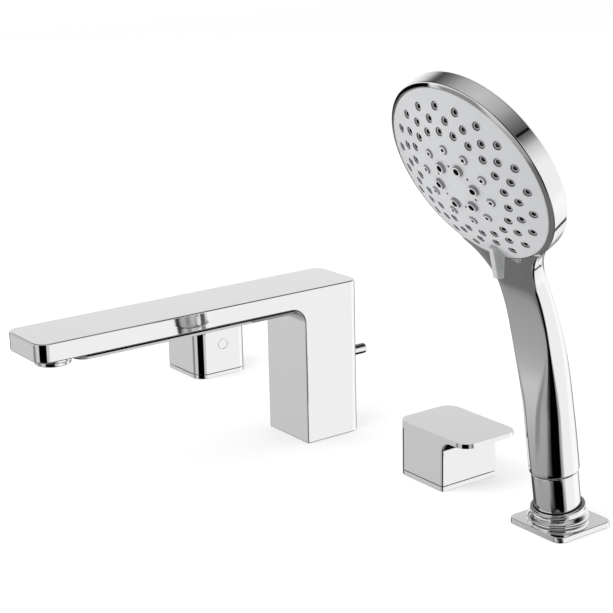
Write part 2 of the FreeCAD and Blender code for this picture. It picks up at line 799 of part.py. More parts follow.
def grip_path():
    # Straight up the leaning axis, then one arc that meets the neck's own line at its station
    lean = math.radians(holder_lean)
    neck_angle = math.radians(neck_lean)
    up_axis = vector(0, -math.sin(lean), math.cos(lean))
    up_neck = vector(0, -math.sin(neck_angle), math.cos(neck_angle))
    foot = vector(holder_x, unit_line_y + axis_offset, plate_height) + up_axis * (cone_top + joint_gap)
    neck = head_point(0, neck_station, neck_forward - neck_depth / 2)
    across = neck - foot
    # Distance from the neck back to where the two lines cross, which is the arc's tangent length
    tangent = (across.y * up_axis.z - across.z * up_axis.y) / (up_neck.y * up_axis.z - up_neck.z * up_axis.y)
    radius = tangent / math.tan((neck_angle - lean) / 2)
    arc_start = neck - up_neck * tangent - up_axis * tangent
    return foot, arc_start, radius


def eased(value, low, high):
    # 0 below low, 1 above high, and smooth between
    share = min(max((value - low) / (high - low), 0), 1)
    return share * share * (3 - 2 * share)


def grip_sections():
    # Evenly spaced sections from the hose nut to the rim of the head
    foot, arc_start, radius = grip_path()
    lean = math.radians(holder_lean)
    centre = arc_start - vector(0, math.cos(lean), math.sin(lean)) * radius
    straight = arc_start.distanceToPoint(foot)
    bend = radius * math.radians(neck_lean - holder_lean)
    reach = head_radius + neck_blend_radius
    blend_down = math.sqrt(reach ** 2 - (neck_half_width + neck_blend_radius) ** 2)
    end_down = blend_down * head_radius / reach
    grip_length = straight + bend
    total = grip_length + neck_station - end_down
    sections = []
    for step in range(grip_steps + 1):
        distance = total * step / grip_steps
        share = min(distance / grip_length, 1)
        depth = 2 * grip_radius + (neck_depth - 2 * grip_radius) * eased(share, 0, 1)
        full_round = depth / 2 - seat_gap
        front = full_round + (neck_edge_radius - full_round) * eased(share, round_until, edged_from)
        back = min(full_round, depth - front - seat_gap)
        half = grip_radius + (neck_half_width - grip_radius) * (1 - (1 - share) ** 2)
        if distance < straight:
            point = foot + (arc_start - foot) * (distance / straight)
            degrees = holder_lean
        elif distance < grip_length:
            degrees = holder_lean + math.degrees((distance - straight) / radius)
            angle = math.radians(degrees)
            point = centre + vector(0, math.cos(angle), math.sin(angle)) * radius
        else:
            # The front face runs on into the bezel as the sides sweep out into the rim
            rise = (distance - grip_length) / (total - grip_length)
            down = neck_station - (distance - grip_length)
            front_out = neck_forward + (bezel_height - neck_forward) * rise ** 2
            point = head_point(0, down, front_out - depth / 2)
            degrees = neck_lean + (head_lean - neck_lean) * rise
            half = max(half, neck_half_width_at(down))
        sections.append(grip_section(point, degrees, half, depth, front, back))
    return sections


def water_way():
    # Up the grip, along the neck, then across inside the back of the head to its hub
    start, arc_start, radius = grip_path()
    up_axis = (arc_start - start).normalize()
    crossing = arc_start + up_axis * (radius * math.tan(math.radians(neck_lean - holder_lean) / 2))
    depth = head_cavity_depth + back_channel_cover + hub_post_bore
    across = head_point(0, head_radius, -depth) - head_point(0, 0, -depth)
    turn = head_point(0, head_radius, -depth)
    way = Part.makeCylinder(grip_bore, start.distanceToPoint(crossing), start, up_axis)
    way = way.fuse(Part.makeSphere(grip_bore, crossing))
    way = way.fuse(Part.makeCylinder(neck_bore, turn.distanceToPoint(crossing), crossing, turn - crossing))
    way = way.fuse(Part.makeSphere(neck_bore, turn))
    way = way.fuse(Part.makeCylinder(hub_post_bore, head_radius, head_point(0, 0, -depth), across))
    return way.fuse(on_head(rod(hub_post_bore, -depth, 0)))


def handset_shell():
    grip = Part.makeLoft(grip_sections(), True)
    opening = plate_radius + seat_gap
    straight = head_radius - head_back_edge
    drum = turned([(0, bezel_height), (opening, bezel_height), (head_radius, 0),
                   (head_radius, -head_wall_depth), (straight, -head_wall_depth - head_back_edge),
                   (head_back_radius, -head_back_depth), (0, -head_back_depth)])
    drum = drum.makeFillet(sharp_edge, rim_edges(drum, 0))
    shell = on_head(drum).fuse(grip)
    shell = shell.cut(on_head(rod(opening, -head_cavity_depth, neck_forward + overrun)))
    bottom = cone_top + joint_gap
    shell = shell.cut(leaning(rod(inlet_radius, bottom - overrun, bottom + inlet_length)))
    inside = grip_radius - grip_foot_bevel
    outside = grip_radius + grip_foot_bevel
    bevel = turned([(inside, bottom), (outside, bottom - overrun), (outside, bottom + outside - inside)])
    shell = shell.cut(leaning(bevel))
    return shell.cut(water_way())


def handset(washer_top):
    write("handset_shell", handset_shell())
    inlet_top = cone_top + joint_gap + inlet_length
    write("handset_inlet", leaning(ring(inlet_radius, grip_bore, washer_top, inlet_top)))
    post = ring(hub_post_radius, hub_post_bore, -head_cavity_depth, hub_post_length - head_cavity_depth)
    write("head_hub", on_head(post))


def dome_radius():
    return (plate_radius ** 2 + dome_rise ** 2) / (2 * dome_rise)


def dome_centre():
    return plate_proud + dome_rise - dome_radius()


def dome_point(ring_radius, degrees):
    # A point on the face and the direction square to it; 0 degrees is straight up the face
    turn = math.radians(degrees)
    height = math.sqrt(dome_radius() ** 2 - ring_radius ** 2)
    point = vector(ring_radius * math.sin(turn), ring_radius * math.cos(turn), dome_centre() + height)
    return point, (point - vector(0, 0, dome_centre())).normalize()


def standing_on_face(shape, ring_radius, degrees):
    # A piece built round Z with its foot at z = 0, stood square on the domed face
    point, direction = dome_point(ring_radius, degrees)
    copy = shape.copy()
    copy.Placement = FreeCAD.Placement(point, FreeCAD.Rotation(along_z, direction))
    return copy


def nozzle_ring(shape, ring_radius, count, first):
    return [standing_on_face(shape, ring_radius, first + 360 * k / count) for k in range(count)]


def spray_face():
    skirt_low = -head_cavity_depth + seat_gap
    face_top = plate_proud + dome_rise
    dome = Part.makeSphere(dome_radius(), vector(0, 0, dome_centre()))
    inner_dome = Part.makeSphere(dome_radius() - plate_wall, vector(0, 0, dome_centre()))
    plate = rod(plate_radius, skirt_low, face_top + overrun).common(dome)
    plate = plate.cut(rod(plate_radius - plate_wall, skirt_low - overrun, face_top).common(inner_dome))
    # The plate turns on the hub post through a boss behind its middle
    bore_top = hub_post_length - head_cavity_depth + seat_gap
    boss = rod(plate_boss_radius, bore_top - plate_boss_depth, face_top - plate_wall / 2).common(dome)
    plate = plate.fuse(boss).cut(rod(hub_post_radius + running_fit, skirt_low - overrun, bore_top))

    def spray_places(shape):
        places = []
        for index, ring_radius in enumerate(spray_ring_radii):
            places += nozzle_ring(shape, ring_radius, spray_ring_count, 180 / spray_ring_count * (index % 2))
        # The selector tab stands where the lowest nozzle of the outer ring would be
        del places[-spray_ring_count // 2]
        return places

    # Spray nozzles lie sunk in round wells, mist nozzles are low cones, massage nozzles tall ones
    sunk = ring(spray_radius, spray_bore, -nozzle_root, -spray_sink)
    write("spray_nozzles", on_head(Part.Compound(spray_places(sunk))))
    pad = turned([(jet_bore, -nozzle_root), (mist_base_radius, -nozzle_root), (mist_base_radius, 0),
                  (mist_tip_radius, mist_height), (jet_bore, mist_height)])
    write("mist_nozzles", on_head(Part.Compound(nozzle_ring(pad, mist_ring_radius, mist_count, 0))))
    jet = turned([(massage_bore, -nozzle_root), (massage_base_radius, -nozzle_root),
                  (massage_base_radius, massage_foot), (massage_tip_radius, massage_height),
                  (massage_bore, massage_height)])
    half_turn = 180 / massage_count
    jets = nozzle_ring(jet, massage_ring_radius, massage_count, half_turn)
    write("massage_nozzles", on_head(Part.Compound(jets)))

    def seat(radius):
        return rod(radius, -nozzle_root, massage_height + overrun)

    seats = nozzle_ring(seat(massage_base_radius), massage_ring_radius, massage_count, half_turn)
    seats += nozzle_ring(seat(mist_base_radius), mist_ring_radius, mist_count, 0)
    seats += nozzle_ring(seat(air_hole_radius), massage_ring_radius, massage_count, 0)
    seats += spray_places(seat(spray_radius))
    # Each nozzle's own way through the plate
    way = rod(jet_bore, -plate_wall - overrun, 0)
    seats += nozzle_ring(way, massage_ring_radius, massage_count, half_turn)
    seats += nozzle_ring(way, mist_ring_radius, mist_count, 0)
    seats += spray_places(way)
    write("spray_plate", on_head(plate.cut(Part.Compound(seats))))

    corners = [(tab_root, plate_proud), (tab_root, tab_root_rise), (tab_reach, tab_rise),
               (tab_back_reach, tab_back_rise), (tab_foot, plate_proud)]
    points = [vector(-tab_width / 2, -down, out) for down, out in corners]
    tab = Part.Face(Part.makePolygon(points + points[:1])).extrude(vector(tab_width, 0, 0))
    tip_edges = [edge for edge in tab.Edges
                 if edge.BoundBox.YMax < -tab_reach + 1e-3 and edge.BoundBox.XLength > tab_width / 2]
    write("selector_tab", on_head(tab.makeFillet(tab_round, tip_edges).cut(dome)))


def main():
    os.makedirs("parts", exist_ok=True)
    spout()
    for name, side, x in (("hot", -1, hot_x), ("cold", 1, cold_x)):
        handle_unit(name, side, x)
        valve_unit(name, side, x)
    holder()
    washer_top = hose_nut()
    handset(washer_top)
    spray_face()


main()
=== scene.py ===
import bpy
import bmesh
import json
import math
from mathutils import Matrix, Vector
from mathutils.geometry import delaunay_2d_cdt


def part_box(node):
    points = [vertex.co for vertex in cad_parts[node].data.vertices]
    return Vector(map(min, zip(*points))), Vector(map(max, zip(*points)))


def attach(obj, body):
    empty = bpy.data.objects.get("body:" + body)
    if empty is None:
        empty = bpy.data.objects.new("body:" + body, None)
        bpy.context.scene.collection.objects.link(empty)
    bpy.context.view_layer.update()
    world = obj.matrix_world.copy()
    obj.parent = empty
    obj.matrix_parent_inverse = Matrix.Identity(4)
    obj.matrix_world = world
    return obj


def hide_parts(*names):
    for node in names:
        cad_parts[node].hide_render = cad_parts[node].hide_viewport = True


# Deck-mounted bath filler: spout, two lever handles and a hand shower standing in its holder

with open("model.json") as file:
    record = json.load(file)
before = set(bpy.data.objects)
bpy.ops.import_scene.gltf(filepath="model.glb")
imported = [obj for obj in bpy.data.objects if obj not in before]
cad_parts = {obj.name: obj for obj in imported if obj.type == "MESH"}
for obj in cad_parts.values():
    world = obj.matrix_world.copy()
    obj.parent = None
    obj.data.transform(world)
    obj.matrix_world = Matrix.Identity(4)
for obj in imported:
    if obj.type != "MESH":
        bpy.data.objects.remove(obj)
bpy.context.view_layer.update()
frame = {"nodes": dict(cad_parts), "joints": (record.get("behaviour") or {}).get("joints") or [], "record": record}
joints = {joint["name"]: joint for joint in frame["joints"]}
mm = 0.001
past = 5 * mm   # how far a cutting form reaches past the face it cuts


def hexToLinear(code):
    channels = [int(code[k:k + 2], 16) / 255 for k in (0, 2, 4)]
    return [c / 12.92 if c <= 0.04045 else ((c + 0.055) / 1.055) ** 2.4 for c in channels] + [1.0]


def addNode(tree, kind, settings=None, links=None):
    node = tree.nodes.new("ShaderNode" + kind)
    for key, value in (settings or {}).items():
        if isinstance(key, int) or key in node.inputs:
            node.inputs[key].default_value = value
        else:
            setattr(node, key, value)
    for key, source in (links or {}).items():
        tree.links.new(source, node.inputs[key])
    return node


def startMaterial(name, values):
    material = bpy.data.materials.new(name)
    material.use_nodes = True
    tree = material.node_tree
    tree.nodes.clear()
    shader = addNode(tree, "BsdfPrincipled", values)
    addNode(tree, "OutputMaterial", links={"Surface": shader.outputs[0]})
    return material, tree, shader, addNode(tree, "TexCoord").outputs["Object"]


def grainPerMetre(sizeInMm):
    return 1 / (sizeInMm * mm)


def roundedPath(corners, steps=8):
    # corners: (a, b, radius) in turn round a closed outline
    path = []
    for index, (a, b, radius) in enumerate(corners):
        here = Vector((a, b))
        if radius < 1e-6:
            path.append(here)
            continue
        back = (Vector(corners[index - 1][:2]) - here).normalized()
        ahead = (Vector(corners[(index + 1) % len(corners)][:2]) - here).normalized()
        half = back.angle(ahead) / 2
        centre = here + (back + ahead).normalized() * (radius / math.sin(half))
        start = here + back * (radius / math.tan(half)) - centre
        end = here + ahead * (radius / math.tan(half)) - centre
        first = math.atan2(start.y, start.x)
        sweep = (math.atan2(end.y, end.x) - first + math.pi) % (2 * math.pi) - math.pi
        for step in range(steps + 1):
            angle = first + sweep * step / steps
            path.append(centre + Vector((math.cos(angle), math.sin(angle))) * radius)
    return path


def circle(radius, count):
    turns = [2 * math.pi * k / count for k in range(count)]
    return [Vector((radius * math.cos(turn), radius * math.sin(turn), 0)) for turn in turns]


def loftMesh(loops, capped=True):
    mesh = bmesh.new()
    rows = [[mesh.verts.new(point) for point in loop] for loop in loops]
    for row, following in zip(rows, rows[1:]):
        for k in range(len(row)):
            j = (k + 1) % len(row)
            mesh.faces.new((row[k], row[j], following[j], following[k]))
    if capped:
        mesh.faces.new(rows[0][::-1])
        mesh.faces.new(rows[-1])
    return mesh


def latheMesh(profile, segments=96, closedRing=False):
    # profile: (radius, height) points turned round Z; a point of no radius closes the form
    mesh = bmesh.new()
    rows = [[mesh.verts.new((point.x, point.y, height))
             for point in circle(radius, segments if radius > 1e-7 else 1)] for radius, height in profile]
    for low, high in zip(rows, rows[1:] + (rows[:1] if closedRing else [])):
        if len(low) == 1 and len(high) == 1:
            continue
        for k in range(segments):
            j = (k + 1) % segments
            ring = []
            for vert in (low[k % len(low)], low[j % len(low)], high[j % len(high)], high[k % len(high)]):
                if vert not in ring:
                    ring.append(vert)
            mesh.faces.new(ring)
    return mesh


def drillMesh(radius, low, high, segments=64):
    return latheMesh([(0, low), (radius, low), (radius, high), (0, high)], segments)


def turnedMesh(corners, segments=96, closedRing=False):
    # corners: (radius, height, rounding) in mm
    return latheMesh(roundedPath([[value * mm for value in corner] for corner in corners]), segments, closedRing)


def prismMesh(outline, low, high):
    return loftMesh([[(x, y, z) for x, y in outline] for z in (low, high)])


def boxOutline(xLow, xHigh, yLow, yHigh, rounds, steps=10):
    # The rounds belong to these corners in turn
    corners = ((xHigh, yLow), (xHigh, yHigh), (xLow, yHigh), (xLow, yLow))
    return roundedPath([(x, y, r) for (x, y), r in zip(corners, rounds)], steps)


def looseObject(name, mesh, place=Matrix()):
    mesh.transform(place)
    bmesh.ops.recalc_face_normals(mesh, faces=mesh.faces)
    data = bpy.data.meshes.new(name)
    mesh.to_mesh(data)
    mesh.free()
    piece = bpy.data.objects.new(name, data)
    bpy.context.scene.collection.objects.link(piece)
    return piece


def settle(piece, *cutters):
    # The modifiers become plain mesh, and the cutting forms go
    bpy.context.view_layer.update()
    seen = piece.evaluated_get(bpy.context.evaluated_depsgraph_get())
    data = bpy.data.meshes.new_from_object(seen)
    piece.modifiers.clear()
    piece.data = data
    for cutter in cutters:
        bpy.data.objects.remove(cutter)


def cutAway(piece, cutter):
    carve = piece.modifiers.new("cut", "BOOLEAN")
    carve.operation = "DIFFERENCE"
    carve.solver = "EXACT"
    carve.object = cutter


def softenEdges(piece, width, segments=3, angle=35):
    # Flush slices are joined first, because narrow ones hold the rounding back
    mesh = bmesh.new()
    mesh.from_mesh(piece.data)
    bmesh.ops.dissolve_limit(mesh, angle_limit=math.radians(0.4), verts=mesh.verts, edges=mesh.edges)
    mesh.to_mesh(piece.data)
    mesh.free()
    bevel = piece.modifiers.new("edges", "BEVEL")
    bevel.width = width
    bevel.segments = segments
    bevel.limit_method = "ANGLE"
    bevel.angle_limit = math.radians(angle)


def markFlats(mesh, height, radius):
    # A flat that only shows through a narrow joint takes the second coat
    for face in mesh.faces:
        middle = face.calc_center_median() / mm
        if abs(middle.z - height) < 0.01 and middle.xy.length < radius:
            face.material_index = 1


def dress(piece, body, slotName, replaced=(), sharpAngle=32, flatFaces=False, insides=(), coat=None):
    marks = [face.material_index for face in piece.data.polygons]
    piece.data.materials.clear()
    for layer in (coat or materials[slotName],) + insides:   # marked faces take the second or third coat
        piece.data.materials.append(layer)
    for face, mark in zip(piece.data.polygons, marks):
        face.material_index = min(mark, len(insides))
    piece.data.shade_smooth()
    piece.data.set_sharp_from_angle(angle=math.radians(sharpAngle))
    if flatFaces:   # keeps the flats flat beside their rounded edges
        weigh = piece.modifiers.new("normals", "WEIGHTED_NORMAL")
        weigh.keep_sharp = True
        weigh.weight = 100
    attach(piece, body)
    if replaced:
        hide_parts(*replaced)


def jointPlace(jointName, tilt):
    # Z of a piece built upright goes along the joint's axis
    return Matrix.Translation(joints[jointName]["pos_m"]) @ Matrix.Rotation(tilt, 4, "X")


# Polished chrome plate on brass: a clear mirror, with only the faint unevenness that buffing leaves
chromeLook = {"colour": "FAFAFA", "roughness": 0.03, "roughnessSpread": 0.02, "buffingMm": 18.0}

# Chrome plate on moulded ABS: the same mirror, a little softer where the moulding is not dead flat
plasticChromeLook = {"colour": "F9F9FA", "roughness": 0.045, "roughnessSpread": 0.02, "buffingMm": 30.0}


def chromeMaterial(name, look):
    colour = hexToLinear(look["colour"])
    material, tree, shader, place = startMaterial(name, {"Base Color": colour, "Metallic": 1.0})
    noise = addNode(tree, "TexNoise", {"Scale": grainPerMetre(look["buffingMm"]), "Detail": 3.0}, {"Vector": place})
    half = look["roughnessSpread"] / 2
    spread = addNode(tree, "MapRange", {"To Min": look["roughness"] - half, "To Max": look["roughness"] + half},
                     {"Value": noise.outputs[0]})
    tree.links.new(spread.outputs[0], shader.inputs["Roughness"])
    return material


# Turned brass, unplated: warm, with fine rings from the lathe tool; drawn at 0.8 mm so that they show
brassLook = {"light": "D8B46A", "dark": "B08A42", "toolMarkMm": 0.8, "roughness": 0.28, "bump": 0.05,
             "stretch": (0.06, 0.06, 1.0)}

# Brushed stainless steel: cool grey with short scratches; drawn at 0.6 mm so that they show
steelLook = {"light": "C9C9C6", "dark": "A5A5A2", "toolMarkMm": 0.6, "roughness": 0.3, "bump": 0.04,
             "stretch": (0.06, 0.06, 1.0)}


def tintAndBump(tree, shader, look, tone, relief):
    tint = addNode(tree, "Mix", {"data_type": "RGBA", 6: hexToLinear(look["dark"]), 7: hexToLinear(look["light"])},
                   {0: tone.outputs[0]})
    bump = addNode(tree, "Bump", {"Strength": look["bump"], "Distance": 0.1 * mm}, {"Height": relief.outputs[0]})
    tree.links.new(tint.outputs[2], shader.inputs["Base Color"])
    tree.links.new(bump.outputs[0], shader.inputs["Normal"])


def machinedMaterial(name, look):
    material, tree, shader, place = startMaterial(name, {"Metallic": 1.0, "Roughness": look["roughness"]})
    stretch = addNode(tree, "Mapping", {"Scale": look["stretch"]}, {"Vector": place})
    marks = addNode(tree, "TexNoise", {"Scale": grainPerMetre(look["toolMarkMm"]), "Detail": 4.0},
                    {"Vector": stretch.outputs[0]})
    tintAndBump(tree, shader, look, marks, marks)
    return material


# Moulded ABS in light grey: even satin surface with the mould's fine spark texture, about 0.4 mm,
# drawn at 0.8 mm so that it shows
greyAbsLook = {"light": "C6C7C8", "dark": "BDBEC0", "grainMm": 0.8, "roughness": 0.42, "bump": 0.03, "ior": 1.52}

# Soft moulded silicone in pale grey: a dull skin sheen
siliconeLook = {"light": "CBCCCD", "dark": "C0C1C3", "grainMm": 0.5, "roughness": 0.5, "bump": 0.04, "ior": 1.41}

# The spray nozzles' rings, coloured a mid grey, darker than the face round them: soft and dull silicone
sprayRingLook = {"light": "A6A7A9", "dark": "98999B", "grainMm": 0.5, "roughness": 0.5, "bump": 0.04, "ior": 1.41}

# Moulded nylon, black: satin, a little waxy
nylonLook = {"light": "2B2B2B", "dark": "1E1E1E", "grainMm": 1.2, "roughness": 0.46, "bump": 0.05, "ior": 1.53}

# Black rubber, moulded: matt with a light bloom in patches
rubberLook = {"light": "2A2A2A", "dark": "151515", "grainMm": 1.5, "roughness": 0.78, "bump": 0.1, "ior": 1.52}

# The side walls of the nozzles and their wells: silicone painted a dark grey as the shade that falls on those
# walls, soft, with hardly any sheen
paintedWallShadeLook = {"light": "848588", "dark": "727376", "grainMm": 0.5, "roughness": 0.55, "bump": 0.03, "ior": 1.41}

# The inside of a nozzle, painted near black as the shade deep in its bore: plastic
paintedBoreShadeLook = {"light": "141414", "dark": "060606", "grainMm": 1.0, "roughness": 0.6, "bump": 0.02, "ior": 1.45}


def mouldedMaterial(name, look, values=None):
    settings = {"Roughness": look["roughness"], "IOR": look["ior"]}
    settings.update(values or {})
    material, tree, shader, place = startMaterial(name, settings)
    grain, drift = [addNode(tree, "TexNoise", {"Scale": grainPerMetre(size), "Detail": 2.0}, {"Vector": place})
                    for size in (look["grainMm"], look["grainMm"] * 25)]   # the colour drifts in wide patches
    tintAndBump(tree, shader, look, drift, grain)
    return material


# Clear grey acrylic, moulded and polished: half see-through, with paler edges where light gathers
acrylicLook = {"light": "CACBCC", "dark": "C0C1C2", "grainMm": 3.0, "roughness": 0.16, "bump": 0.01, "ior": 1.49}

materials = {
    "chromed_brass": chromeMaterial("chromePlateOnBrass", chromeLook),
    "chromed_abs": chromeMaterial("chromePlateOnAbs", plasticChromeLook),
    "bare_brass": machinedMaterial("turnedBrass", brassLook),
    "stainless_steel": machinedMaterial("brushedStainlessSteel", steelLook),
    "black_rubber": mouldedMaterial("mouldedBlackRubber", rubberLook),
    "moulded_nylon": mouldedMaterial("mouldedNylon", nylonLook),
    "grey_abs": mouldedMaterial("mouldedGreyAbs", greyAbsLook),
    "grey_silicone": mouldedMaterial("mouldedGreySilicone", siliconeLook),
    "clear_grey_acrylic": mouldedMaterial("polishedGreyAcrylic", acrylicLook, {"Transmission Weight": 0.35}),
}
# Coats for marked faces, beside the slots' own materials: painted shade in the bores and on the walls of the
# nozzles and wells, and the spray rings' mid grey
paintedBoreShade = mouldedMaterial("shadedNozzleBore", paintedBoreShadeLook)
paintedWallShade = mouldedMaterial("siliconeWithPaintedShade", paintedWallShadeLook)
sprayRing = mouldedMaterial("mouldedMidGreySilicone", sprayRingLook)

for part in frame["record"]["subparts"]:
    cadMesh = frame["nodes"][part["node"]]
    if not cadMesh.material_slots:
        cadMesh.data.materials.append(None)
    for materialSlot in cadMesh.material_slots:
        materialSlot.material = materials[part["material_slot"]]
print("materials ready:", len(materials))

# keelSteps: how far each edge of the keel stands in from the arm's side and below the arm
spoutLook = {"tipRound": 9.5, "backRound": 8.6, "rootRound": 12.0, "armThick": 13.1, "edge": 1.0,
             "columnFront": 24.5, "roundSteps": 16, "pocketDepth": 12.9, "wall": 3.0,
             "keelSteps": ((1.8, -0.2), (2.9, 1.9), (8.2, 5.6)), "keelEdge": 0.5, "keelFront": 211.0,
             "keelRound": 9.0, "bossRadius": 13.2, "bossDrop": 5.6, "bossBore": 11.2, "bossRounds": (0.3, 0.8),
             "bossSunk": 0.2, "outletSetback": 22.0, "aeratorBore": 9.0, "aeratorMouth": 8.0, "mouthThick": 1.0,
             "aeratorGap": 0.3, "aeratorRounds": (0.3, 0.7, 0.2)}


def cornerDrop(offset, half, radius):
    # How far a rounded corner has pulled an end back, at this distance from the middle
    over = abs(offset) - (half - radius)
    return 0 if over <= 0 else radius - math.sqrt(max(radius * radius - over * over, 0))


def sliceOffsets(half, radius, steps):
    offsets = {round(half - radius + radius * math.sin(math.pi / 2 * k / steps), 7) for k in range(steps + 1)}
    return sorted({-offset for offset in offsets} | offsets)


def arc(centreA, centreB, radius, fromDegrees, toDegrees, steps):
    turns = [math.radians(fromDegrees + (toDegrees - fromDegrees) * k / steps) for k in range(steps + 1)]
    return [(centreA + radius * math.cos(turn), centreB + radius * math.sin(turn)) for turn in turns]


def makeSpout(look):
    low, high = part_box("spout_body")
    half = (high.x - low.x) / 2
    armBottom = high.z - look["armThick"] * mm
    front = -look["columnFront"] * mm
    root = look["rootRound"] * mm

    def sideProfile(x):
        tip = low.y + cornerDrop(x, half, look["tipRound"] * mm)
        back = high.y - cornerDrop(x, half, look["backRound"] * mm)
        under = arc(front - root, armBottom - root, root, 90, 0, look["roundSteps"])
        outline = [(back, low.z), (back, high.z), (tip, high.z), (tip, armBottom)] + under + [(front, low.z)]
        return [(x, y, z) for y, z in outline]

    offsets = sliceOffsets(half, look["tipRound"] * mm, look["roundSteps"])
    shell = looseObject("spoutShell", loftMesh([sideProfile(x) for x in offsets]))
    inner = half - look["wall"] * mm
    wall = look["wall"] * mm
    innerRound = (look["backRound"] - look["wall"]) * mm
    pocket = looseObject("spoutPocket", prismMesh(
        boxOutline(-inner, inner, front + wall, high.y - wall, (mm, innerRound, innerRound, mm)),
        low.z - past, look["pocketDepth"] * mm))
    cutAway(shell, pocket)
    softenEdges(shell, look["edge"] * mm)
    settle(shell, pocket)
    dress(shell, "base", "chromed_brass", ("spout_body",), flatFaces=True)

    # Shallow keel under the arm
    rounds = (look["keelRound"] * mm, mm, mm, look["keelRound"] * mm)
    loops = []
    for inset, depth in look["keelSteps"]:
        side = half - inset * mm
        lead = (inset - look["keelFront"]) * mm
        outline = boxOutline(-side, side, lead, front + mm, rounds)
        loops.append([(x, y, armBottom - depth * mm) for x, y in outline])
    keel = looseObject("spoutKeel", loftMesh(loops))
    softenEdges(keel, look["keelEdge"] * mm, 3, angle=25)
    settle(keel)
    dress(keel, "base", "chromed_brass", flatFaces=True)

    # Round outlet boss and the threaded aerator ring in it, with a hair of clearance
    outlet = Matrix.Translation((0, low.y + look["outletSetback"] * mm, 0))
    radius, bore = look["bossRadius"], look["bossBore"]
    top = armBottom / mm + look["bossSunk"]
    bottom = armBottom / mm - look["bossDrop"]
    inside, outside = look["bossRounds"]
    boss = turnedMesh([(bore, top, 0), (bore, bottom, inside), (radius, bottom, outside), (radius, top, 0)],
                      closedRing=True)
    dress(looseObject("outletBoss", boss, outlet), "base", "chromed_brass")
    ringLow, ringHigh = (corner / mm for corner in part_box("aerator_housing"))
    outer = (ringHigh.x - ringLow.x) / 2
    way, mouth = look["aeratorBore"], look["aeratorMouth"]
    inside, outside, shoulder = look["aeratorRounds"]
    neck = bore - look["aeratorGap"]
    ledge = ringHigh.z - look["mouthThick"]
    ring = turnedMesh([(way, ringLow.z, inside), (outer, ringLow.z, outside), (outer, bottom, shoulder),
                       (neck, bottom, 0), (neck, ringHigh.z, 0), (mouth, ringHigh.z, 0), (mouth, ledge, 0),
                       (way, ledge, 0)], closedRing=True)
    dress(looseObject("aeratorRing", ring, outlet), "base", "chromed_brass", ("aerator_housing",))


makeSpout(spoutLook)

diverterLook = {"roundEnd": 1.8, "footEdge": 0.3}


def makeDiverterKnob(look):
    low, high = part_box("diverter_knob")
    radius = (high.x - low.x) / 2
    profile = roundedPath([(0, low.y, 0), (radius, low.y, look["footEdge"] * mm),
                           (radius, high.y, look["roundEnd"] * mm), (0, high.y, 0)])
    lieBack = Matrix.Translation((0, 0, (low.z + high.z) / 2)) @ Matrix.Rotation(-math.pi / 2, 4, "X")
    knob = looseObject("diverterKnob", latheMesh(profile, 48), lieBack)
    dress(knob, "diverter", "chromed_brass", ("diverter_knob",))


makeDiverterKnob(diverterLook)
print("spout ready")


handleLook = {"overhang": 22.5, "leverThick": 3.2, "leverCorner": 9.0, "leverRoot": 9.0, "softCorner": 10.0,
              "tightCorner": 1.6, "edge": 1.0, "roundSteps": 16, "wall": 3.2, "pocketTop": 20.5,
              "capHeight": 27.4, "capRecess": 4.6, "capDepth": 1.2, "capEdge": 0.3, "capStem": 2.5,
              "coverBore": 15.3, "coverEdge": 0.3, "coverSeam": 0.3, "flangeRadius": 19.8, "flangeTop": 2.8}


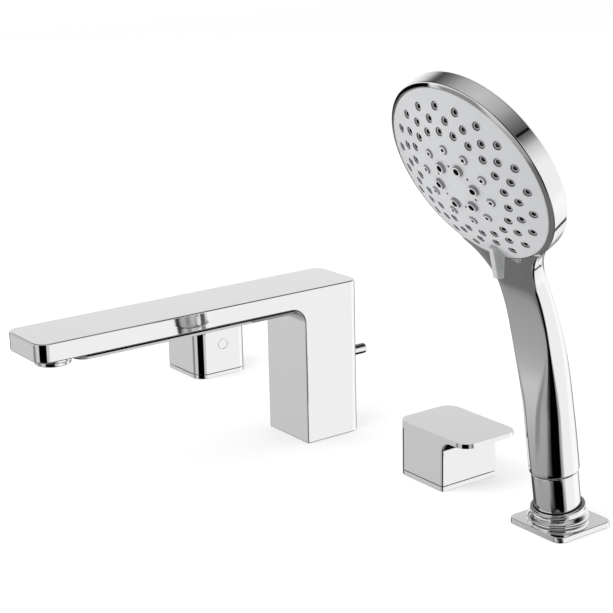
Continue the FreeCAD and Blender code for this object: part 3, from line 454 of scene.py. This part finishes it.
def makeHandle(side, lever, look):
    # Built for a lever on the +X side; side is -1 for the mirrored hand
    low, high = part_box(lever + "_handle")
    overhang = look["overhang"] * mm
    halfWidth = (high.y - low.y) / 2
    half = (high.x - low.x - overhang) / 2
    middleX = low.x + half if side > 0 else high.x - half
    middleY = (low.y + high.y) / 2
    place = Matrix.Translation((middleX, middleY, 0)) @ Matrix.Diagonal((side, 1, 1, 1))
    plateLow = high.z - look["leverThick"] * mm
    root = look["leverRoot"] * mm
    soft = look["softCorner"] * mm
    tight = look["tightCorner"] * mm

    def sideProfile(y):
        away = -half + cornerDrop(y, halfWidth, soft)
        face = half - cornerDrop(y, halfWidth, tight)
        tip = half + overhang - cornerDrop(y, halfWidth, look["leverCorner"] * mm)
        under = arc(face + root, plateLow - root, root, 90, 180, look["roundSteps"])
        outline = [(away, low.z), (away, high.z), (tip, high.z), (tip, plateLow)] + under + [(face, low.z)]
        return [(x, y, z) for x, z in outline]

    offsets = sliceOffsets(halfWidth, soft, look["roundSteps"])
    handle = looseObject(lever + "Handle", loftMesh([sideProfile(y) for y in offsets]), place)
    wall = look["wall"] * mm
    pocket = looseObject("pocket", prismMesh(
        boxOutline(wall - half, half - wall, wall - halfWidth, halfWidth - wall,
                   (mm, mm, soft - wall, soft - wall)), low.z - past, look["pocketTop"] * mm), place)
    capTurn = Matrix.Translation((0, 0, look["capHeight"] * mm)) @ Matrix.Rotation(-math.pi / 2, 4, "Y")
    capFoot = half - look["capDepth"] * mm
    recess = looseObject("recess", drillMesh(look["capRecess"] * mm, capFoot, half + past), place @ capTurn)
    cutAway(handle, pocket)
    softenEdges(handle, look["edge"] * mm)
    cutAway(handle, recess)
    settle(handle, pocket, recess)
    dress(handle, lever + "_lever", "chromed_brass", (lever + "_handle",), flatFaces=True)

    # Index cap, flush in its recess with a hairline round it
    capLow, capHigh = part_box(lever + "_index_cap")
    capRadius = (capHigh.y - capLow.y) / 2
    stem = half - (capHigh.x - capLow.x)
    stemRadius = look["capStem"] * mm
    profile = roundedPath([(0, stem, 0), (stemRadius, stem, 0), (stemRadius, capFoot, 0), (capRadius, capFoot, 0),
                           (capRadius, half, look["capEdge"] * mm), (0, half, 0)])
    cap = looseObject(lever + "IndexCap", latheMesh(profile, 64), place @ capTurn)
    dress(cap, lever + "_lever", "chromed_brass", (lever + "_index_cap",))

    # Thin square cover on the deck
    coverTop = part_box(lever + "_escutcheon")[1].z - look["coverSeam"] * mm
    sheet = prismMesh(boxOutline(-half, half, -halfWidth, halfWidth, (tight, tight, soft, soft)), 0, coverTop)
    markFlats(sheet, coverTop / mm, 1.0)
    cover = looseObject(lever + "Cover", sheet, place)
    flange, flangeTop, hole = (look[key] * mm for key in ("flangeRadius", "flangeTop", "coverBore"))
    bore = looseObject("bore", latheMesh([(0, -past), (flange, -past), (flange, flangeTop), (hole, flangeTop),
                                          (hole, coverTop + past), (0, coverTop + past)], 64), place)
    softenEdges(cover, look["coverEdge"] * mm, 2)
    cutAway(cover, bore)
    settle(cover, bore)
    dress(cover, "base", "chromed_brass", (lever + "_escutcheon",), flatFaces=True,
          insides=(materials["black_rubber"],))


makeHandle(-1, "hot", handleLook)
makeHandle(1, "cold", handleLook)
print("handles ready")


holderLook = {"corner": 6.0, "edge": 0.5, "gasketInset": 4.0, "gasketDepth": 1.0, "shankBore": 13.42,
              "foot": (18.6, 0.0), "bulge": (19.8, 2.4), "waist": (16.9, 6.2), "lipRadius": 17.7, "lipHigh": 1.6,
              "lipRound": 0.6, "lipNeck": 0.6, "neckRound": 0.2, "cupDepth": 9.9, "cupBore": 15.6,
              "mouthRound": 0.3, "axisOffset": 1.0, "sideSteps": 28, "cupFloor": 4.2, "hoseWay": 9.0,
              "hoseWayLow": 0.6, "segments": 112}
coneLook = {"radius": 15.0, "footRadius": 10.4, "foot": 4.6, "taper": 6.0, "top": 34.2, "socket": 10.45,
            "socketDepth": 14.0, "edge": 0.5, "bore": 5.5, "footRound": 0.4, "sideRound": 1.0, "mouthRound": 0.2}
leanAxis = Vector(joints["handset_swivel"]["axis"])
leanAngle = math.atan2(-leanAxis.y, leanAxis.z)
leaningPlace = jointPlace("handset_swivel", leanAngle)


def makeHolder(look):
    low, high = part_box("holder_plate")
    centre = (low + high) / 2
    side = (high.x - low.x) / 2
    place = Matrix.Translation((centre.x, centre.y, 0))
    shank = sum(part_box("holder_shank"), Vector()) / 2
    stand = Matrix.Translation((shank.x, shank.y, 0))
    inner = side - look["gasketInset"] * mm
    plate, seat = (looseObject(name, prismMesh(
        boxOutline(-half, half, -half, half, (look["corner"] * mm,) * 4), bottom, top), place)
        for name, half, bottom, top in (("holderPlate", side, 0, high.z),
                                        ("seat", inner, -past, look["gasketDepth"] * mm)))
    bore = looseObject("bore", drillMesh(look["shankBore"] * mm, -past, high.z + past), stand)
    softenEdges(plate, look["edge"] * mm)
    cutAway(plate, seat)
    cutAway(plate, bore)
    settle(plate, seat, bore)
    dress(plate, "base", "chromed_brass", ("holder_plate",), flatFaces=True)

    # The cup stands upright on the plate at its foot and swings over to the leaning axis at its waist
    footRadius, footHeight = look["foot"]
    bulgeRadius, bulgeHeight = look["bulge"]
    waistRadius, waistHeight = look["waist"]
    depth = look["cupDepth"]
    lipLow = depth - look["lipHigh"]
    outside = []
    for step in range(look["sideSteps"] + 1):
        height = waistHeight * step / look["sideSteps"]
        if height < bulgeHeight:
            share = (height - bulgeHeight) / (footHeight - bulgeHeight)
            radius = bulgeRadius + (footRadius - bulgeRadius) * share ** 2
        else:
            share = (height - bulgeHeight) / (waistHeight - bulgeHeight)
            radius = bulgeRadius + (waistRadius - bulgeRadius) * share * share * (3 - 2 * share)
        outside.append((radius, height))
    lip = look["lipRadius"]
    bore = look["cupBore"]
    rim = roundedPath([(waistRadius, lipLow - look["lipNeck"], 0), (waistRadius, lipLow, look["neckRound"]),
                       (lip, lipLow, look["lipRound"]), (lip, depth, look["lipRound"]),
                       (bore, depth, look["mouthRound"]), (bore, look["cupFloor"], 0),
                       (look["hoseWay"], look["cupFloor"], 0), (look["hoseWay"], look["hoseWayLow"], 0)], 6)
    loops = []
    for radius, height in outside + [tuple(point) for point in rim]:
        lean = min(max(height / waistHeight, 0), 1) ** 2
        centreLow = Vector((0, 0, height)) * mm
        centreHigh = leanAxis * height * mm + Vector((0, look["axisOffset"] * mm, 0))
        middle = centreLow.lerp(centreHigh, lean)
        turn = Matrix.Rotation(leanAngle * lean, 3, "X")
        loops.append([middle + turn @ point for point in circle(radius * mm, look["segments"])])
    cup = looseObject("holderCup", loftMesh(loops, capped=False), stand @ Matrix.Translation((0, 0, high.z)))
    dress(cup, "base", "chromed_brass", ("holder_cup",))


def makeHoseCone(look):
    bore, foot, radius, top = look["bore"], look["foot"], look["radius"], look["top"]
    floor = top - look["socketDepth"]
    ring = turnedMesh([(bore, foot, 0), (look["footRadius"], foot, look["footRound"]),
                       (radius, foot + look["taper"], look["sideRound"]), (radius, top, look["edge"]),
                       (look["socket"], top, look["mouthRound"]), (look["socket"], floor, 0), (bore, floor, 0)],
                      112, closedRing=True)
    markFlats(ring, look["top"], look["radius"] - look["edge"])
    cone = looseObject("hoseCone", ring, leaningPlace)
    dress(cone, "hose_end", "chromed_brass", ("hose_cone",), insides=(materials["black_rubber"],))


makeHolder(holderLook)
makeHoseCone(coneLook)
print("holder ready")


gripLook = {"jointGap": 0.8, "gripRadius": 15.9, "footRound": 0.9, "neckHalf": 16.8, "neckBlend": 40.0,
            "neckDepth": 15.0, "roundUntil": 0.3, "edgedFrom": 0.75, "neckEdge": 2.5, "neckForward": 1.9,
            "neckLean": 24.5, "neckStation": 82.5, "slack": 0.3, "sections": 72, "cornerSteps": 14, "sideSteps": 6,
            "inletRadius": 10.4, "inletLength": 12.0}
headLook = {"radius": 62.2, "wall": 10.1, "depth": 16.1, "backFlat": 30.0, "rimEdge": 1.2, "cavity": 59.4,
            "cavityDepth": 7.0, "bezelLow": 0.8, "bezel": 2.3, "crestRound": 0.2, "backRound": 20.0,
            "shoulder": 2.0, "shoulderRound": 1.5, "wallRound": 1.2}
headAxis = Vector(joints["spray_select"]["axis"])
headLean = math.atan2(-headAxis.z, -headAxis.y)
headPlace = jointPlace("spray_select", math.pi / 2 + headLean)
headCentre = Vector(joints["spray_select"]["pos_m"])


def headPoint(across, down, out):
    return headCentre + Vector((across, down * math.sin(headLean) - out * math.cos(headLean),
                                -down * math.cos(headLean) - out * math.sin(headLean)))


def eased(value, low, high):
    share = min(max((value - low) / (high - low), 0), 1)
    return share * share * (3 - 2 * share)


def sectionLoop(half, depth, front, back, look):
    corners = ((half, -depth / 2, front), (half, depth / 2, back), (-half, depth / 2, back),
               (-half, -depth / 2, front))
    loop = []
    path = roundedPath(corners, look["cornerSteps"])
    each = look["cornerSteps"] + 1
    for index in range(4):
        loop += path[index * each:(index + 1) * each]
        start, end = loop[-1], path[((index + 1) * each) % len(path)]
        loop += [start.lerp(end, step / look["sideSteps"]) for step in range(1, look["sideSteps"])]
    return loop


def gripLoops(look):
    # A foot on the leaning axis, a straight grip, a bend and a neck that flares into the head
    radius, depthAtNeck, forward, station, slack, neckHalf, neckBlend, neckEdge, footRound = (
        look[key] * mm for key in ("gripRadius", "neckDepth", "neckForward", "neckStation", "slack", "neckHalf",
                                   "neckBlend", "neckEdge", "footRound"))
    headRadius = headLook["radius"] * mm
    lean = leanAngle
    neckAngle = math.radians(look["neckLean"])
    upGrip = Vector((0, -math.sin(lean), math.cos(lean)))
    upNeck = Vector((0, -math.sin(neckAngle), math.cos(neckAngle)))
    foot = leaningPlace @ Vector((0, 0, (coneLook["top"] + look["jointGap"]) * mm))
    neck = headPoint(0, station, forward - depthAtNeck / 2)
    across = neck - foot
    tangent = (across.y * upGrip.z - across.z * upGrip.y) / (upNeck.y * upGrip.z - upNeck.z * upGrip.y)
    bendRadius = tangent / math.tan((neckAngle - lean) / 2)
    arcStart = neck - upNeck * tangent - upGrip * tangent
    bendCentre = arcStart - Vector((0, math.cos(lean), math.sin(lean))) * bendRadius
    straight = (arcStart - foot).length
    gripLength = straight + bendRadius * (neckAngle - lean)
    reach = headRadius + neckBlend
    blendDown = math.sqrt(reach ** 2 - (neckHalf + neckBlend) ** 2)
    total = gripLength + station - blendDown * headRadius / reach
    distances = [footRound * (1 - math.cos(math.pi / 2 * k / 5)) for k in range(5)]
    distances += [footRound + (total - footRound) * k / look["sections"] for k in range(look["sections"] + 1)]
    loops = []
    for distance in distances:
        share = min(distance / gripLength, 1)
        tuck = max(footRound - distance, 0)
        shrink = footRound - math.sqrt(footRound ** 2 - tuck ** 2)
        depth = 2 * (radius - shrink) + (depthAtNeck - 2 * radius) * eased(share, 0, 1)
        fullRound = depth / 2 - slack
        front = fullRound + (neckEdge - fullRound) * eased(share, look["roundUntil"], look["edgedFrom"])
        back = min(fullRound, depth - front - slack)
        half = radius - shrink + (neckHalf - radius) * (1 - (1 - share) ** 2)
        if distance < straight:
            point = foot.lerp(arcStart, distance / straight)
            tilt = lean
        elif distance < gripLength:
            tilt = lean + (distance - straight) / bendRadius
            point = bendCentre + Vector((0, math.cos(tilt), math.sin(tilt))) * bendRadius
        else:
            rise = (distance - gripLength) / (total - gripLength)
            down = station - (distance - gripLength)
            frontOut = forward + (headLook["bezel"] * mm - forward) * rise ** 2
            point = headPoint(0, down, frontOut - depth / 2)
            tilt = neckAngle + (headLean - neckAngle) * rise
            if down < blendDown:
                sweep = neckHalf + neckBlend - math.sqrt(neckBlend ** 2 - (blendDown - down) ** 2)
                half = max(half, sweep)
        turn = Matrix.Translation(point) @ Matrix.Rotation(tilt, 4, "X")
        loops.append([turn @ Vector((x, y, 0)) for x, y in sectionLoop(half, depth, front, back, look)])
    return loops


def makeHandset(look, head):
    grip = looseObject("handsetGrip", loftMesh(gripLoops(look)))
    bottom = (coneLook["top"] + look["jointGap"]) * mm
    socket = looseObject("socket", drillMesh(look["inletRadius"] * mm, bottom - past,
                                             bottom + look["inletLength"] * mm), leaningPlace)
    cavity = looseObject("cavity", drillMesh(head["cavity"] * mm, -head["cavityDepth"] * mm,
                                             head["bezel"] * mm + 3 * past, 160), headPlace)
    cutAway(grip, socket)
    cutAway(grip, cavity)
    settle(grip, socket, cavity)
    dress(grip, "handset", "chromed_abs", ("handset_shell",), sharpAngle=40)

    radius, wall, depth, inner, floor = (head[key] for key in ("radius", "wall", "depth", "cavity", "cavityDepth"))
    shoulder = head["shoulder"]
    drum = turnedMesh([(0, -depth, 0), (head["backFlat"], -depth, head["backRound"]),
                       (radius - shoulder, -wall - shoulder, head["shoulderRound"]),
                       (radius, -wall, head["wallRound"]), (radius, head["bezelLow"], head["rimEdge"]),
                       (inner, head["bezel"], head["crestRound"]), (inner, -floor, 0), (0, -floor, 0)], 192)
    drum = looseObject("handsetHead", drum, headPlace)
    dress(drum, "handset", "chromed_abs")


makeHandset(gripLook, headLook)
print("handset ready")


faceLook = {"radius": 59.1, "proud": 2.0, "rise": 11.0, "skirt": 6.7, "rimRound": 0.6, "rimSteps": 192,
            "skirtWall": 2.2, "backHigh": -0.4, "wellDepth": 2.1, "gridMm": 3.2, "rowShare": 0.87,
            "rimClear": 1.2, "holeClear": 0.7, "holeSteps": 28,
            "patternDown": 1.0, "sprayRings": (35.8, 43.2, 50.6), "sprayCount": 20, "sprayWell": 2.8,
            "mistRing": 24.8, "mistCount": 10, "mistBase": 3.1,
            "massageRing": 14.3, "massageCount": 6, "massageBase": 3.7, "airHole": 0.8}
# Heights of a nozzle are counted from the face round it
sprayNozzleLook = {"outer": 2.78, "bore": 1.5, "top": -0.6, "lipTop": -0.45, "lipWidth": 0.5, "floor": -2.2,
                   "foot": -2.1, "edge": 0.2}
mistNozzleLook = {"base": 3.1, "tip": 2.1, "high": 1.0, "bore": 1.15, "edge": 0.35, "floor": -1.2, "foot": -1.5}
massageNozzleLook = {"base": 3.7, "tip": 3.05, "high": 1.9, "bore": 2.1, "edge": 0.3, "floor": 0.4, "foot": -1.5}
sphereRadius = (faceLook["radius"] ** 2 + faceLook["rise"] ** 2) / (2 * faceLook["rise"])
sphereCentre = faceLook["proud"] + faceLook["rise"] - sphereRadius


def faceHeight(x, y):
    return sphereCentre + math.sqrt(sphereRadius ** 2 - x * x - y * y)


def standingAt(ringRadius, degrees):
    # Where a nozzle stands square on the domed face; 0 degrees is straight up the face
    turn = math.radians(degrees)
    x, y = ringRadius * math.sin(turn), ringRadius * math.cos(turn) - faceLook["patternDown"]
    point = Vector((x, y, faceHeight(x, y)))
    out = (point - Vector((0, 0, sphereCentre))).normalized()
    return Matrix.Translation(point * mm) @ out.to_track_quat("Z", "Y").to_matrix().to_4x4()


def ringPlaces(look, kind, first=0):
    count = look[kind + "Count"]
    return [standingAt(look[kind + "Ring"], first + 360 * k / count) for k in range(count)]


def sprayPlaces(look):
    step = 360 / look["sprayCount"]
    places = [standingAt(ringRadius, step / 2 * (index % 2) + step * k)
              for index, ringRadius in enumerate(look["sprayRings"]) for k in range(look["sprayCount"])]
    del places[-look["sprayCount"] // 2]   # the selector tab stands there
    return places


def facePlate(look):
    # A domed sheet with round holes, triangulated flat and lifted onto the sphere
    between = 180 / look["massageCount"]
    holes = [(place, look[size]) for size, places in (
        ("sprayWell", sprayPlaces(look)), ("mistBase", ringPlaces(look, "mist")),
        ("massageBase", ringPlaces(look, "massage", between)), ("airHole", ringPlaces(look, "massage")))
        for place in places]
    edge = look["radius"] - look["rimRound"]
    points, edges = [], []

    def addLoop(loop):
        first = len(points)
        points.extend(loop)
        edges.extend((first + k, first + (k + 1) % len(loop)) for k in range(len(loop)))

    addLoop([point.xy for point in circle(edge, look["rimSteps"])])
    for place, radius in holes:
        addLoop([((place @ point) / mm).xy for point in circle(radius * mm, look["holeSteps"])])
    centres = [((place.translation / mm).xy, radius) for place, radius in holes]
    gap = look["gridMm"]
    rows = int(edge / gap) + 1
    for i in range(-rows, rows + 1):
        for j in range(-rows, rows + 1):
            point = Vector((i * gap + (j % 2) * gap / 2, j * gap * look["rowShare"]))
            clear = all((point - middle).length > radius + look["holeClear"] for middle, radius in centres)
            if clear and point.length < edge - look["rimClear"]:
                points.append(point)
    flat, _, triangles, *_ = delaunay_2d_cdt(points, edges, [], 0, 1e-5)
    mesh = bmesh.new()
    verts = [mesh.verts.new(Vector((p.x, p.y, faceHeight(p.x, p.y))) * mm) for p in flat]
    for triangle in triangles:
        middle = sum((flat[k] for k in triangle), Vector((0, 0))) / 3
        if middle.length < edge and all((middle - centre).length > radius for centre, radius in centres):
            mesh.faces.new([verts[k] for k in triangle])
    # Rounded rim, skirt and the walls of the holes
    edgeHeight = faceHeight(edge, 0)
    bottom = -look["skirt"]
    profile = [(edge, edgeHeight)]
    slope = math.asin(edge / sphereRadius)
    for step in range(1, 7):
        tilt = slope + (math.pi / 2 - slope) * step / 6
        profile.append((edge + look["rimRound"] * (math.sin(tilt) - math.sin(slope)) / (1 - math.sin(slope)),
                        edgeHeight - look["rimRound"] * (math.cos(slope) - math.cos(tilt))))
    inner = look["radius"] - look["skirtWall"]
    profile += [(look["radius"], bottom), (inner, bottom), (inner, look["backHigh"]), (0, look["backHigh"])]
    addMesh(mesh, latheMesh([(r * mm, z * mm) for r, z in profile], look["rimSteps"]))
    depth = look["wellDepth"] * mm
    for place, radius in holes:
        wall = latheMesh([(radius * mm, 0), (radius * mm, -depth), (0, -depth)], look["holeSteps"])
        # The wells' walls take the painted wall shade, and the air holes' walls the near-black painted bore shade
        for face in wall.faces:
            face.material_index = 2 if radius == look["airHole"] else 1
        wall.transform(place)
        addMesh(mesh, wall)
    bmesh.ops.remove_doubles(mesh, verts=mesh.verts, dist=0.04 * mm)
    return mesh


def addMesh(mesh, other):
    data = bpy.data.meshes.new("part")
    other.to_mesh(data)
    other.free()
    mesh.from_mesh(data)
    bpy.data.meshes.remove(data)


def nozzleProfile(corners, steps):
    # From the middle of the bore's floor, up the bore, over the tip and down the outer wall
    return [(0, corners[0][1])] + [tuple(point) for point in roundedPath(corners, steps)]


def addNozzles(name, node, places, profile, boreTop, wallFrom, coat=None):
    # One lathed nozzle at every place; its outer wall takes the second coat, a painted shade, and its bore the
    # third, a near-black painted shade
    boreRadius = profile[1][0] * 1.01
    mesh = bmesh.new()
    for place in places:
        nozzle = latheMesh([(radius * mm, height * mm) for radius, height in profile], 32)
        for face in nozzle.faces:
            middle = face.calc_center_median() / mm
            across = middle.xy.length
            bore = across < boreRadius and middle.z < boreTop
            face.material_index = 2 if bore else 1 if across > wallFrom else 0
        nozzle.transform(place)
        addMesh(mesh, nozzle)
    dress(looseObject(name, mesh, headPlace), "spray_selector", "grey_silicone", (node,),
          insides=(paintedWallShade, paintedBoreShade), coat=coat)


def makeSprayFace(look):
    plate = looseObject("sprayFace", facePlate(look), headPlace)
    # The walls of its wells and air holes take the painted shade coats
    dress(plate, "spray_selector", "grey_abs", ("spray_plate",), sharpAngle=40, insides=(paintedWallShade, paintedBoreShade))

    outer, bore, top, lipTop, lipWidth, floor, foot, edge = sprayNozzleLook.values()
    profile = nozzleProfile([(bore, floor, 0), (bore, lipTop, edge), (outer - lipWidth, top, edge),
                             (outer, top - 0.1, 0), (outer, foot, 0)], 4)
    del profile[-2]   # the lip slopes straight down to the foot
    addNozzles("sprayNozzles", "spray_nozzles", sprayPlaces(look), profile, top - 0.15, outer - 0.3, sprayRing)

    base, tip, high, bore, edge, floor, foot = mistNozzleLook.values()
    profile = nozzleProfile([(bore, floor, 0), (bore, high, 0.1), (tip, high, edge), (base, 0.1, 0.1),
                             (base, foot, 0)], 5)
    addNozzles("mistNozzles", "mist_nozzles", ringPlaces(look, "mist"), profile, high - 0.1, tip)

    base, tip, high, bore, edge, floor, foot = massageNozzleLook.values()
    profile = nozzleProfile([(bore, floor, 0), (bore, high, edge), (tip, high, edge), (base, 0.3, 0.2),
                             (base, foot, 0)], 5)
    places = ringPlaces(look, "massage", 180 / look["massageCount"])
    addNozzles("massageNozzles", "massage_nozzles", places, profile, high - 0.3, tip)


makeSprayFace(faceLook)

# Corners of the tab's side: how far down the face, and how far out of it
tabLook = {"width": 4.3, "aside": 0.8, "root": (48.0, 2.0), "rootTop": (48.0, 8.2), "tip": (67.0, 13.4),
           "tipBack": (70.0, 9.0), "foot": (57.6, 2.0), "tipRound": 1.2, "rootRound": 0.8, "edge": 0.6}


def makeSelectorTab(look):
    rootRound, tipRound = look["rootRound"], look["tipRound"]
    corners = [look["root"] + (0,), look["rootTop"] + (rootRound,), look["tip"] + (tipRound,),
               look["tipBack"] + (tipRound,), look["foot"] + (rootRound,)]
    outline = roundedPath([(down * mm, out * mm, curve * mm) for down, out, curve in corners], 5)
    sides = [(look["aside"] + side * look["width"] / 2) * mm for side in (-1, 1)]
    mesh = loftMesh([[(x, -down, out) for down, out in outline] for x in sides])
    tab = looseObject("selectorTab", mesh, headPlace)
    softenEdges(tab, look["edge"] * mm, 4)
    settle(tab)
    dress(tab, "spray_selector", "clear_grey_acrylic", ("selector_tab",), flatFaces=True)


makeSelectorTab(tabLook)
print("spray face ready")

# What hangs under the deck isn't mirrored in the chrome above it
for name, node in frame["nodes"].items():
    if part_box(name)[0].z < -2 * mm:
        node.visible_glossy = False


floorLook = {"size": 6.0, "colour": "F2F2F2", "lift": 0.45}


def makeFloor(look):
    half = look["size"] / 2
    mesh = bmesh.new()
    mesh.faces.new([mesh.verts.new((x * half, y * half, 0)) for x, y in ((-1, -1), (1, -1), (1, 1), (-1, 1))])
    data = bpy.data.meshes.new("floor")
    mesh.to_mesh(data)
    mesh.free()
    floor = bpy.data.objects.new("floor", data)
    bpy.context.scene.collection.objects.link(floor)
    material = bpy.data.materials.new("paintedFloor")
    material.use_nodes = True
    tree = material.node_tree
    tree.nodes.clear()
    paint = addNode(tree, "BsdfDiffuse", {"Color": hexToLinear(look["colour"])})
    glow = addNode(tree, "Emission", {"Strength": look["lift"]})
    lifted = addNode(tree, "AddShader", links={0: paint.outputs[0], 1: glow.outputs[0]})
    clear = addNode(tree, "BsdfTransparent")
    rays = addNode(tree, "LightPath")
    sides = addNode(tree, "NewGeometry")
    hidden = addNode(tree, "Math", {"operation": "MAXIMUM"},
                     {0: rays.outputs["Is Glossy Ray"], 1: sides.outputs["Backfacing"]})
    shown = addNode(tree, "MixShader",
                    links={0: hidden.outputs[0], 1: lifted.outputs[0], 2: clear.outputs[0]})
    addNode(tree, "OutputMaterial", links={"Surface": shown.outputs[0]})
    data.materials.append(material)


makeFloor(floorLook)

# The studio as the chrome sees it. Levels: elevation in degrees and sRGB colour. Panels, each over those
# before it: azimuth counted from -Y toward +X, half width, low and high edge, softness, all in degrees,
# and colour.
studioLook = {
    "levels": ((-90, "6A6A6A"), (-62, "6C6C6C"), (-46, "6A6A6A"), (-43, "6E6E6E"), (-40, "969696"), (-36, "9E9E9E"),
               (-30, "A4A4A4"), (-26, "B0B0B0"), (-23, "C4C4C4"), (-15, "CCCCCC"), (-8, "DADADA"), (-3, "EFEFEF"),
               (3, "F3F3F3"), (9, "EFEFEF"), (15, "E4E4E4"), (20, "D6D6D6"), (25, "C6C6C6"), (28, "A8A8A8"),
               (33, "787878"), (38, "4E4E4E"), (40, "505050"), (45, "646464"), (51, "787878"), (57, "8E8E8E"),
               (63, "A2A2A2"), (69, "AEAEAE"), (75, "B6B6B6"), (90, "C4C4C4")),
    "panels": {
        "whiteWall": (156, 60, -38, 9, 4, "F3F3F3"),
        "brightWall": (166, 21, -30, -5, 6, "FFFFFF"),
        "flagFade": (42, 18, -40.5, -26, 11, "020202"),
        "blackFlag": (61, 23, -40.5, -22, 4, "020202"),
        "blackFlagUpper": (44, 30, -24, 27, 3, "020202"),
        "blackFlagFoot": (48, 35, -57, -36, 4, "020202"),
        "darkSide": (-112, 32, -38, -10, 4, "505050"),
        "bezelBlack": (-78, 26, -13, -1, 1.5, "040404"),
        "bezelGrey": (-31, 14, -30, -5, 3, "8A8A8A"),
        "darkCeiling": (-76, 20, 26, 44, 3, "101010"),
        "darkCeilingBehind": (160, 26, 42, 62, 4, "101010"),
        "darkFloorEdge": (178, 51, -66, -41, 3, "080808"),
        "keelLight": (-136, 13, -50, -34, 3, "C8C8C8"),
        "outlineShade": (-158, 12, -27, -14, 2, "9A9A9A"),
        "rimLine": (111, 10, 37, 39.6, 0.8, "040404"),
        "darkPost": (-178, 3, -41, -29, 2, "303030"),
    },
    "softLight": 0.6,
}


def makeStudio(look):
    world = bpy.data.worlds.new("studio")
    bpy.context.scene.world = world
    world.use_nodes = True
    tree = world.node_tree
    tree.nodes.clear()
    place = addNode(tree, "TexCoord")
    axes = addNode(tree, "SeparateXYZ", links={0: place.outputs["Generated"]})
    rise = addNode(tree, "Math", {"operation": "ARCSINE", "use_clamp": False}, {0: axes.outputs[2]})
    height = addNode(tree, "Math", {"operation": "DEGREES"}, {0: rise.outputs[0]})
    forward = addNode(tree, "Math", {"operation": "MULTIPLY", 1: -1.0}, {0: axes.outputs[1]})
    swing = addNode(tree, "Math", {"operation": "ARCTAN2"}, {0: axes.outputs[0], 1: forward.outputs[0]})
    azimuth = addNode(tree, "Math", {"operation": "DEGREES"}, {0: swing.outputs[0]})
    share = addNode(tree, "MapRange", {"From Min": -90.0, "From Max": 90.0}, {0: height.outputs[0]})
    ramp = addNode(tree, "ValToRGB", links={0: share.outputs[0]})
    stops = ramp.color_ramp.elements
    stops.remove(stops[1])
    for index, (level, colour) in enumerate(look["levels"]):
        stop = stops[0] if index == 0 else stops.new((level + 90) / 180)
        stop.position = (level + 90) / 180
        stop.color = hexToLinear(colour)
    seen = ramp.outputs[0]
    for middle, half, low, high, soft, colour in look["panels"].values():
        aside = addNode(tree, "Math", {"operation": "SUBTRACT", 1: middle}, {0: azimuth.outputs[0]})
        wrapped = addNode(tree, "Math", {"operation": "WRAP", 1: 180.0, 2: -180.0}, {0: aside.outputs[0]})
        away = addNode(tree, "Math", {"operation": "ABSOLUTE"}, {0: wrapped.outputs[0]})
        mask = None
        for source, start, end in ((away, half + soft, half - soft), (height, low - soft, low + soft),
                                   (height, high + soft, high - soft)):
            edge = addNode(tree, "MapRange", {"interpolation_type": "SMOOTHSTEP",
                                              "From Min": start, "From Max": end}, {0: source.outputs[0]})
            if mask:
                edge = addNode(tree, "Math", {"operation": "MULTIPLY"},
                               {0: edge.outputs[0], 1: mask.outputs[0]})
            mask = edge
        mix = addNode(tree, "Mix", {"data_type": "RGBA", 7: hexToLinear(colour)},
                      {0: mask.outputs[0], 6: seen})
        seen = mix.outputs[2]
    mirrored = addNode(tree, "Background", links={0: seen})
    white = addNode(tree, "Background", {0: (1, 1, 1, 1), 1: 1.0})
    soft = addNode(tree, "Background", {0: (1, 1, 1, 1), 1: look["softLight"]})
    rays = addNode(tree, "LightPath")
    backdrop = addNode(tree, "Math", {"operation": "MAXIMUM"},
                       {0: rays.outputs["Is Camera Ray"], 1: rays.outputs["Is Transmission Ray"]})
    first = addNode(tree, "MixShader",
                    links={0: rays.outputs["Is Glossy Ray"], 1: soft.outputs[0], 2: mirrored.outputs[0]})
    last = addNode(tree, "MixShader",
                   links={0: backdrop.outputs[0], 1: first.outputs[0], 2: white.outputs[0]})
    addNode(tree, "OutputWorld", links={0: last.outputs[0]})


makeStudio(studioLook)

lampLook = {
    "softbox": {"place": (0.1, -1.4, 1.5), "aim": (0.1, 0.0, 0.1), "size": 1.6, "watts": 10.0},
    "lowSoftbox": {"place": (-0.8, -0.9, 0.12), "aim": (0.24, -0.1, 0.27), "size": 0.8, "watts": 4.0},
    "lowFill": {"place": (0.08, -0.16, 0.077), "aim": (0.242, -0.058, 0.237), "size": 0.06, "watts": 0.15},
}


def makeLamp(name, look):
    light = bpy.data.lights.new(name, "AREA")
    light.size = look["size"]
    light.energy = look["watts"]
    lamp = bpy.data.objects.new(name, light)
    lamp.location = look["place"]
    lamp.rotation_euler = (Vector(look["aim"]) - Vector(look["place"])).to_track_quat("-Z", "Y").to_euler()
    lamp.visible_glossy = False
    lamp.visible_camera = False
    bpy.context.scene.collection.objects.link(lamp)


for lampName, lampValues in lampLook.items():
    makeLamp(lampName, lampValues)

# Camera where the photograph was taken from; angles in degrees, lens for a 36 mm sensor
cameraLook = {"place": (0.90426, -0.64996, 0.40803), "azimuth": 54.53, "down": 15.68, "roll": -1.34, "lens": 91.65}


def makeCamera(look):
    turn, down, roll = (math.radians(look[key]) for key in ("azimuth", "down", "roll"))
    forward = Vector((-math.sin(turn) * math.cos(down), math.cos(turn) * math.cos(down), -math.sin(down)))
    right = Vector((math.cos(turn), math.sin(turn), 0))
    up = right.cross(forward)
    cameraX = right * math.cos(roll) + up * math.sin(roll)
    cameraY = up * math.cos(roll) - right * math.sin(roll)
    data = bpy.data.cameras.new("camera")
    data.lens = look["lens"]
    data.sensor_width = 36
    data.sensor_fit = "HORIZONTAL"
    data.clip_start = 0.05
    camera = bpy.data.objects.new("camera", data)
    turned = Matrix((cameraX, cameraY, -forward)).transposed().to_4x4()
    camera.matrix_world = Matrix.Translation(look["place"]) @ turned
    bpy.context.scene.collection.objects.link(camera)
    bpy.context.scene.camera = camera


makeCamera(cameraLook)
bpy.context.scene.view_settings.view_transform = "Standard"
print("studio and camera ready")
